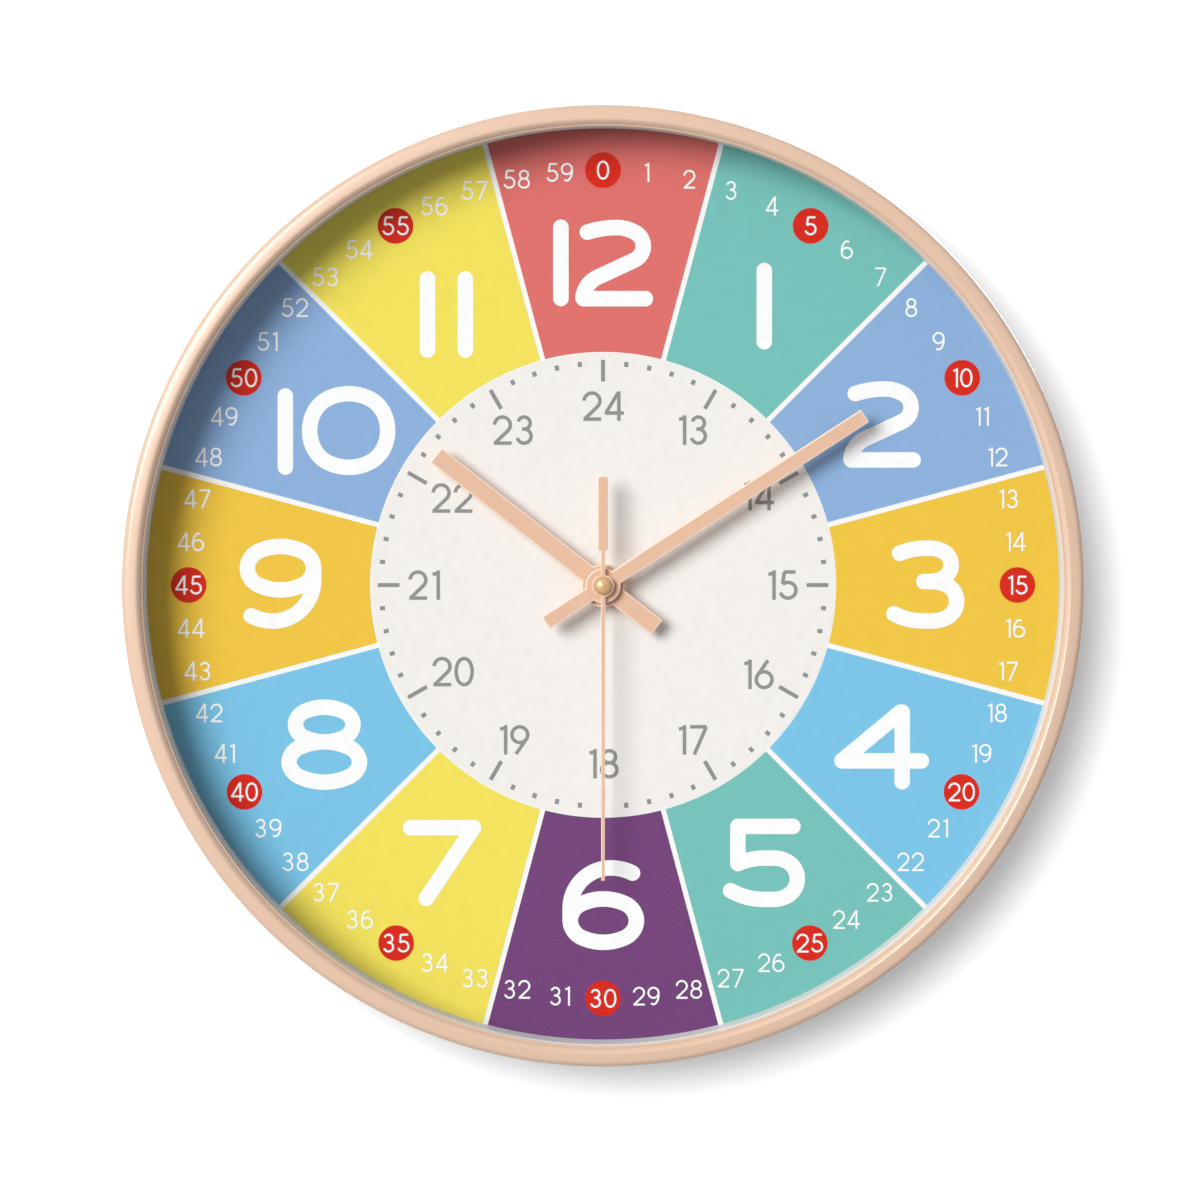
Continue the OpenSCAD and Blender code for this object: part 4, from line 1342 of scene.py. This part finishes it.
@dataclass
class Hands:
    """The three hands, their sleeves and the brass cap."""

    hour: Blade = field(default_factory=lambda: Blade(
        "hour_hand", Body.HOUR, turn=308, length=66.4, tail_length=21.4, width=5.8, tip_width=5.8,
        hub_diameter=13.5, bore_radius=3.13, thickness=0.6, edge_margin=0.4))
    minute: Blade = field(default_factory=lambda: Blade(
        "minute_hand", Body.MINUTE, turn=57, length=97.6, tail_length=21.4, width=4.6, tip_width=4.6,
        hub_diameter=10.9, bore_radius=2.23, thickness=0.6, edge_margin=0.4))
    second: Blade = field(default_factory=lambda: Blade(
        "second_hand", Body.SECOND, turn=180, length=92.3, tail_length=34.3, width=1.35, tip_width=1.1,
        hub_diameter=6.9, bore_radius=1.13, thickness=0.4, edge_margin=0.2, weight=(3.25, 10.9)))
    cap: HandCap = field(default_factory=HandCap)

    def build(self, bench: Bench) -> None:
        """Makes the hands and the cap, and dresses the sleeves.

        Args:
            bench: Where the pieces are finished.
        """
        for part in (self.hour, self.minute, self.second, self.cap):
            part.build(bench)
        bench.dress(BRASS, "hour_collet", "minute_collet", "second_collet")


# The back


@dataclass
class BackPlate:
    """The moulded plate behind the dial, its screws and the hanger."""

    moulded_edge: float = 0.3
    pressed_edge: float = 0.15

    def build(self, bench: Bench) -> None:
        """Makes the plate, the screws and the hanger.

        Args:
            bench: Where the pieces are finished.
        """
        bench.soften("back_plate", self.moulded_edge, WHITE_PLASTIC, Body.CASE)
        for node in ("hanger_plate", "hanger_screws", "plate_screws"):
            bench.soften(node, self.pressed_edge, ZINC_STEEL, Body.CASE)


@dataclass
class Battery:
    """The dry cell in its bay, with a printed sleeve folded over steel ends.

    Attributes:
        fold_depth: Depth of the folded end on the inside of the sleeve.
        can_sunk: How far the ends of the steel can lie behind the fold.
        dish_radii: Radii of the flat end's foot and face.
        band_end: Where the light band ends, from the tip.
    """

    radius: float = 7.25
    length: float = 50.5
    fold_radius: float = 5.7
    fold_depth: float = 1.0
    sleeve_round: float = 0.9
    sleeve_thickness: float = 0.3
    can_gap: float = 0.05
    can_sunk: float = 0.2
    can_slope: float = 1.2
    tip_radius: float = 2.75
    tip_height: float = 1.2
    tip_round: float = 0.5
    tip_foot_round: float = 0.2
    dish_radii: Pair = (4.2, 4.0)
    dish_round: float = 0.1
    band_end: float = 13.0
    steps: int = 72

    def build(self, bench: Bench) -> None:
        """Makes the sleeve and the ends of the cell, and lays them along the bay.

        Args:
            bench: Where the pieces are finished.
        """
        low, high = (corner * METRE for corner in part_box("battery_cell"))
        start = (low.x, (low.z + high.z) / 2, -(low.y + high.y) / 2)
        bay = Matrix.Translation(start) @ Matrix.Rotation(math.radians(90), 4, "Y")
        parts = (("cell_sleeve", CELL_WRAP, self.shell(self.length, self.band_end), ["battery_cell"]),
                 ("cell_band", CELL_BAND, self.shell(self.tip_height, self.band_end), []),
                 ("cell_ends", BRIGHT_STEEL, self.ends(), []))
        for name, finish, bm, stands_for in parts:
            bm.transform(bay)
            bench.piece(name, bm, finish, Body.BATTERY, stands_for)

    def shell(self, end: float, other: float) -> BMesh:
        """A length of the sleeve with one end folded over.

        Args:
            end: Where the folded end lies, from the tip.
            other: Where the other end lies.

        Returns:
            The mesh, along the axis of the hands.
        """
        wall, inward = self.radius - self.sleeve_thickness, math.copysign(1, other - end)
        return revolve([
            (self.fold_radius, end, 0), (self.radius, end, self.sleeve_round), (self.radius, other, 0),
            (wall, other, 0), (wall, end + inward * self.fold_depth, 0),
            (self.fold_radius, end + inward * self.sleeve_thickness, 0)], self.steps)

    def ends(self) -> BMesh:
        """The steel can inside the sleeve with its tip.

        Returns:
            The mesh, along the axis of the hands.
        """
        low, high, tip, (foot, face) = self.tip_height, self.length, self.tip_radius, self.dish_radii
        wall = self.radius - self.sleeve_thickness - self.can_gap
        under = self.fold_radius + self.sleeve_thickness
        front, back = low + self.can_sunk, high - self.can_sunk
        return revolve([
            (0, 0, 0), (tip, 0, self.tip_round), (tip, front - self.can_gap, self.tip_foot_round),
            (under, front, 0), (wall, low + self.can_slope, 0), (wall, high - self.can_slope, 0),
            (under, back, 0), (foot, back, self.dish_round), (face, high - self.can_gap, self.dish_round),
            (0, high - self.can_gap, 0)], self.steps)


@dataclass
class Movement:
    """The quartz movement: housing, motor, electronics, gear train and setting knob."""

    battery: Battery = field(default_factory=Battery)
    housing_edge: float = 0.35
    knob_edge: float = 0.2

    def build(self, bench: Bench) -> None:
        """Dresses the movement and makes its battery.

        Args:
            bench: Where the pieces are finished.
        """
        for node in ("movement_case", "movement_cover"):
            bench.soften(node, self.housing_edge, BLACK_PLASTIC, Body.CASE)
        bench.soften("setting_knob", self.knob_edge, KNOB_PLASTIC, Body.SETTING)
        bench.dress(BRIDGE_PLASTIC, "train_bridge", "coil_bobbin")
        bench.dress(CUSHION_RUBBER, "cushion_washer")
        bench.dress(BRASS, "mounting_washer", "mounting_nut", "clutch_spring")
        bench.dress(SOFT_IRON, "stator", "coil_core")
        bench.dress(COPPER_WIRE, "coil_winding")
        bench.dress(BOARD, "circuit_board")
        bench.dress(CHIP_RESIN, "driver_chip")
        bench.dress(BRIGHT_STEEL, "quartz_crystal", "second_arbor")
        bench.dress(ZINC_STEEL, "positive_contact", "negative_contact")
        bench.dress(MAGNET, "rotor_magnet")
        bench.dress(GEAR_PLASTIC, "rotor_pinion", "intermediate_wheel", "second_wheel", "third_wheel",
                    "centre_wheel", "minute_arbor", "reduction_wheel", "hour_wheel", "setting_pinion")
        self.battery.build(bench)


# The studio


@dataclass(frozen=True)
class Lamp:
    """A soft light for the wall alone or for all but the wall."""

    name: str
    strength: float
    light_from: Triple
    width_degrees: float
    on_wall: bool = False

    def light(self, wall: Object) -> None:
        """Sets up the lamp.

        Args:
            wall: The wall.
        """
        data = bpy.data.lights.new(self.name, "SUN")
        data.energy = self.strength
        data.angle = math.radians(self.width_degrees)
        lamp = bpy.data.objects.new(self.name, data)
        lamp.rotation_euler = Vector(self.light_from).to_track_quat("Z", "Y").to_euler()
        bpy.context.scene.collection.objects.link(lamp)
        lit = bpy.data.collections.new(f"{self.name}_falls_on")
        lit.objects.link(wall)
        lit.collection_objects[0].light_linking.link_state = "INCLUDE" if self.on_wall else "EXCLUDE"
        lamp.light_linking.receiver_collection = lit


@dataclass
class Studio:
    """A white wall, soft light from the upper left and the camera, in metres.

    Attributes:
        elevation: Degrees that the camera stands above its aim.
        view_width: Width of the view at the aim.
        sensor: Width of the camera's sensor, in millimetres.
        ambient: Strength of the room's even light.
        wall_glow: Share of the wall's white that doesn't depend on the light.
        wall_gap: How far the wall stands behind the clock.
    """

    distance: float = 2.6
    elevation: float = 2.2
    view_width: float = 0.3736
    aim: Triple = (-0.00094, -0.0434, -0.004)
    sensor: float = 36.0
    lamps: tuple[Lamp, ...] = (
        Lamp("window", strength=2.9, light_from=(-0.72, -1.0, 0.4), width_degrees=34.0),
        Lamp("wall_wash", strength=3.2, light_from=(-0.27, -1.0, 0.23), width_degrees=27.0, on_wall=True),
        Lamp("back_light", strength=1.9, light_from=(0.5, 1.0, 0.6), width_degrees=34.0))
    ambient: float = 0.3
    wall_glow: float = 0.25
    wall_size: float = 6.0
    wall_gap: float = 0.0004

    def build(self) -> None:
        """Sets up the wall, the light and the camera."""
        wall = self.wall()
        self.room()
        for lamp in self.lamps:
            lamp.light(wall)
        self.camera()
        bpy.context.scene.view_settings.view_transform = "Standard"

    def wall(self) -> Object:
        """Hangs the white wall, which takes the shadow and shows only from the front.

        Returns:
            The wall.
        """
        bm = plate(self.wall_size, self.wall_size)
        bm.transform(Matrix.Translation((0, self.wall_gap, 0)) @ Matrix.Rotation(math.radians(90), 4, "X"))
        wall = into_scene("wall", bm)
        wall.data.materials.append(self.paint())
        return wall

    def paint(self) -> Material:
        """The wall's paint: matt white in front, and clear from behind and to the light.

        Returns:
            The material.
        """
        material = bpy.data.materials.new("wall_paint")
        material.use_nodes = True
        tree = material.node_tree
        tree.nodes.remove(tree.nodes["Principled BSDF"])
        matt, glow, front, clear, choice, side, unseen, hidden = (
            tree.nodes.new(f"ShaderNode{kind}") for kind in (
                "BsdfDiffuse", "Emission", "MixShader", "BsdfTransparent", "MixShader", "NewGeometry", "Math",
                "Math"))
        for shader in (matt, glow):
            shader.inputs["Color"].default_value = WHITE
        front.inputs["Fac"].default_value = self.wall_glow
        unseen.operation, hidden.operation = "SUBTRACT", "MAXIMUM"
        unseen.inputs[0].default_value = 1.0
        wire(tree,
             (any_ray(tree, "Is Camera Ray"), unseen.inputs[1]), (unseen.outputs[0], hidden.inputs[0]),
             (side.outputs["Backfacing"], hidden.inputs[1]), (hidden.outputs[0], choice.inputs["Fac"]),
             (matt.outputs[0], front.inputs[1]), (glow.outputs[0], front.inputs[2]),
             (front.outputs[0], choice.inputs[1]), (clear.outputs[0], choice.inputs[2]),
             (choice.outputs[0], tree.nodes["Material Output"].inputs["Surface"]))
        return material

    def room(self) -> None:
        """Fills the room with an even light that looks white."""
        world = bpy.data.worlds.new("room")
        bpy.context.scene.world = world
        world.use_nodes = True
        tree = world.node_tree
        sky, level = tree.nodes["Background"], tree.nodes.new("ShaderNodeMapRange")
        sky.inputs["Color"].default_value = WHITE
        level.inputs["To Min"].default_value = self.ambient
        level.inputs["To Max"].default_value = 1.0
        seen = any_ray(tree, "Is Camera Ray", "Is Glossy Ray", "Is Transmission Ray")
        wire(tree, (seen, level.inputs["Value"]), (level.outputs["Result"], sky.inputs["Strength"]))

    def camera(self) -> None:
        """Places the camera in front of the clock and a little above it."""
        data = bpy.data.cameras.new("camera")
        data.sensor_width = self.sensor
        data.lens = data.sensor_width * self.distance / self.view_width
        rise = math.radians(self.elevation)
        back = Vector((0, -math.cos(rise), math.sin(rise)))
        camera = bpy.data.objects.new("camera", data)
        camera.location = Vector(self.aim) + back * self.distance
        camera.rotation_euler = back.to_track_quat("Z", "Y").to_euler()
        bpy.context.scene.collection.objects.link(camera)
        bpy.context.scene.camera = camera


def main() -> None:
    """Builds the clock piece by piece, then the room round it."""
    logging.basicConfig(level=logging.INFO, format="%(name)s: %(message)s")
    bench = Bench()
    for assembly in (CaseRing(), Dial(), Hands(), BackPlate(), Movement()):
        assembly.build(bench)
    Studio().build()
    LOG.info("%d new pieces", bench.made)


if __name__ == "__main__":
    main()
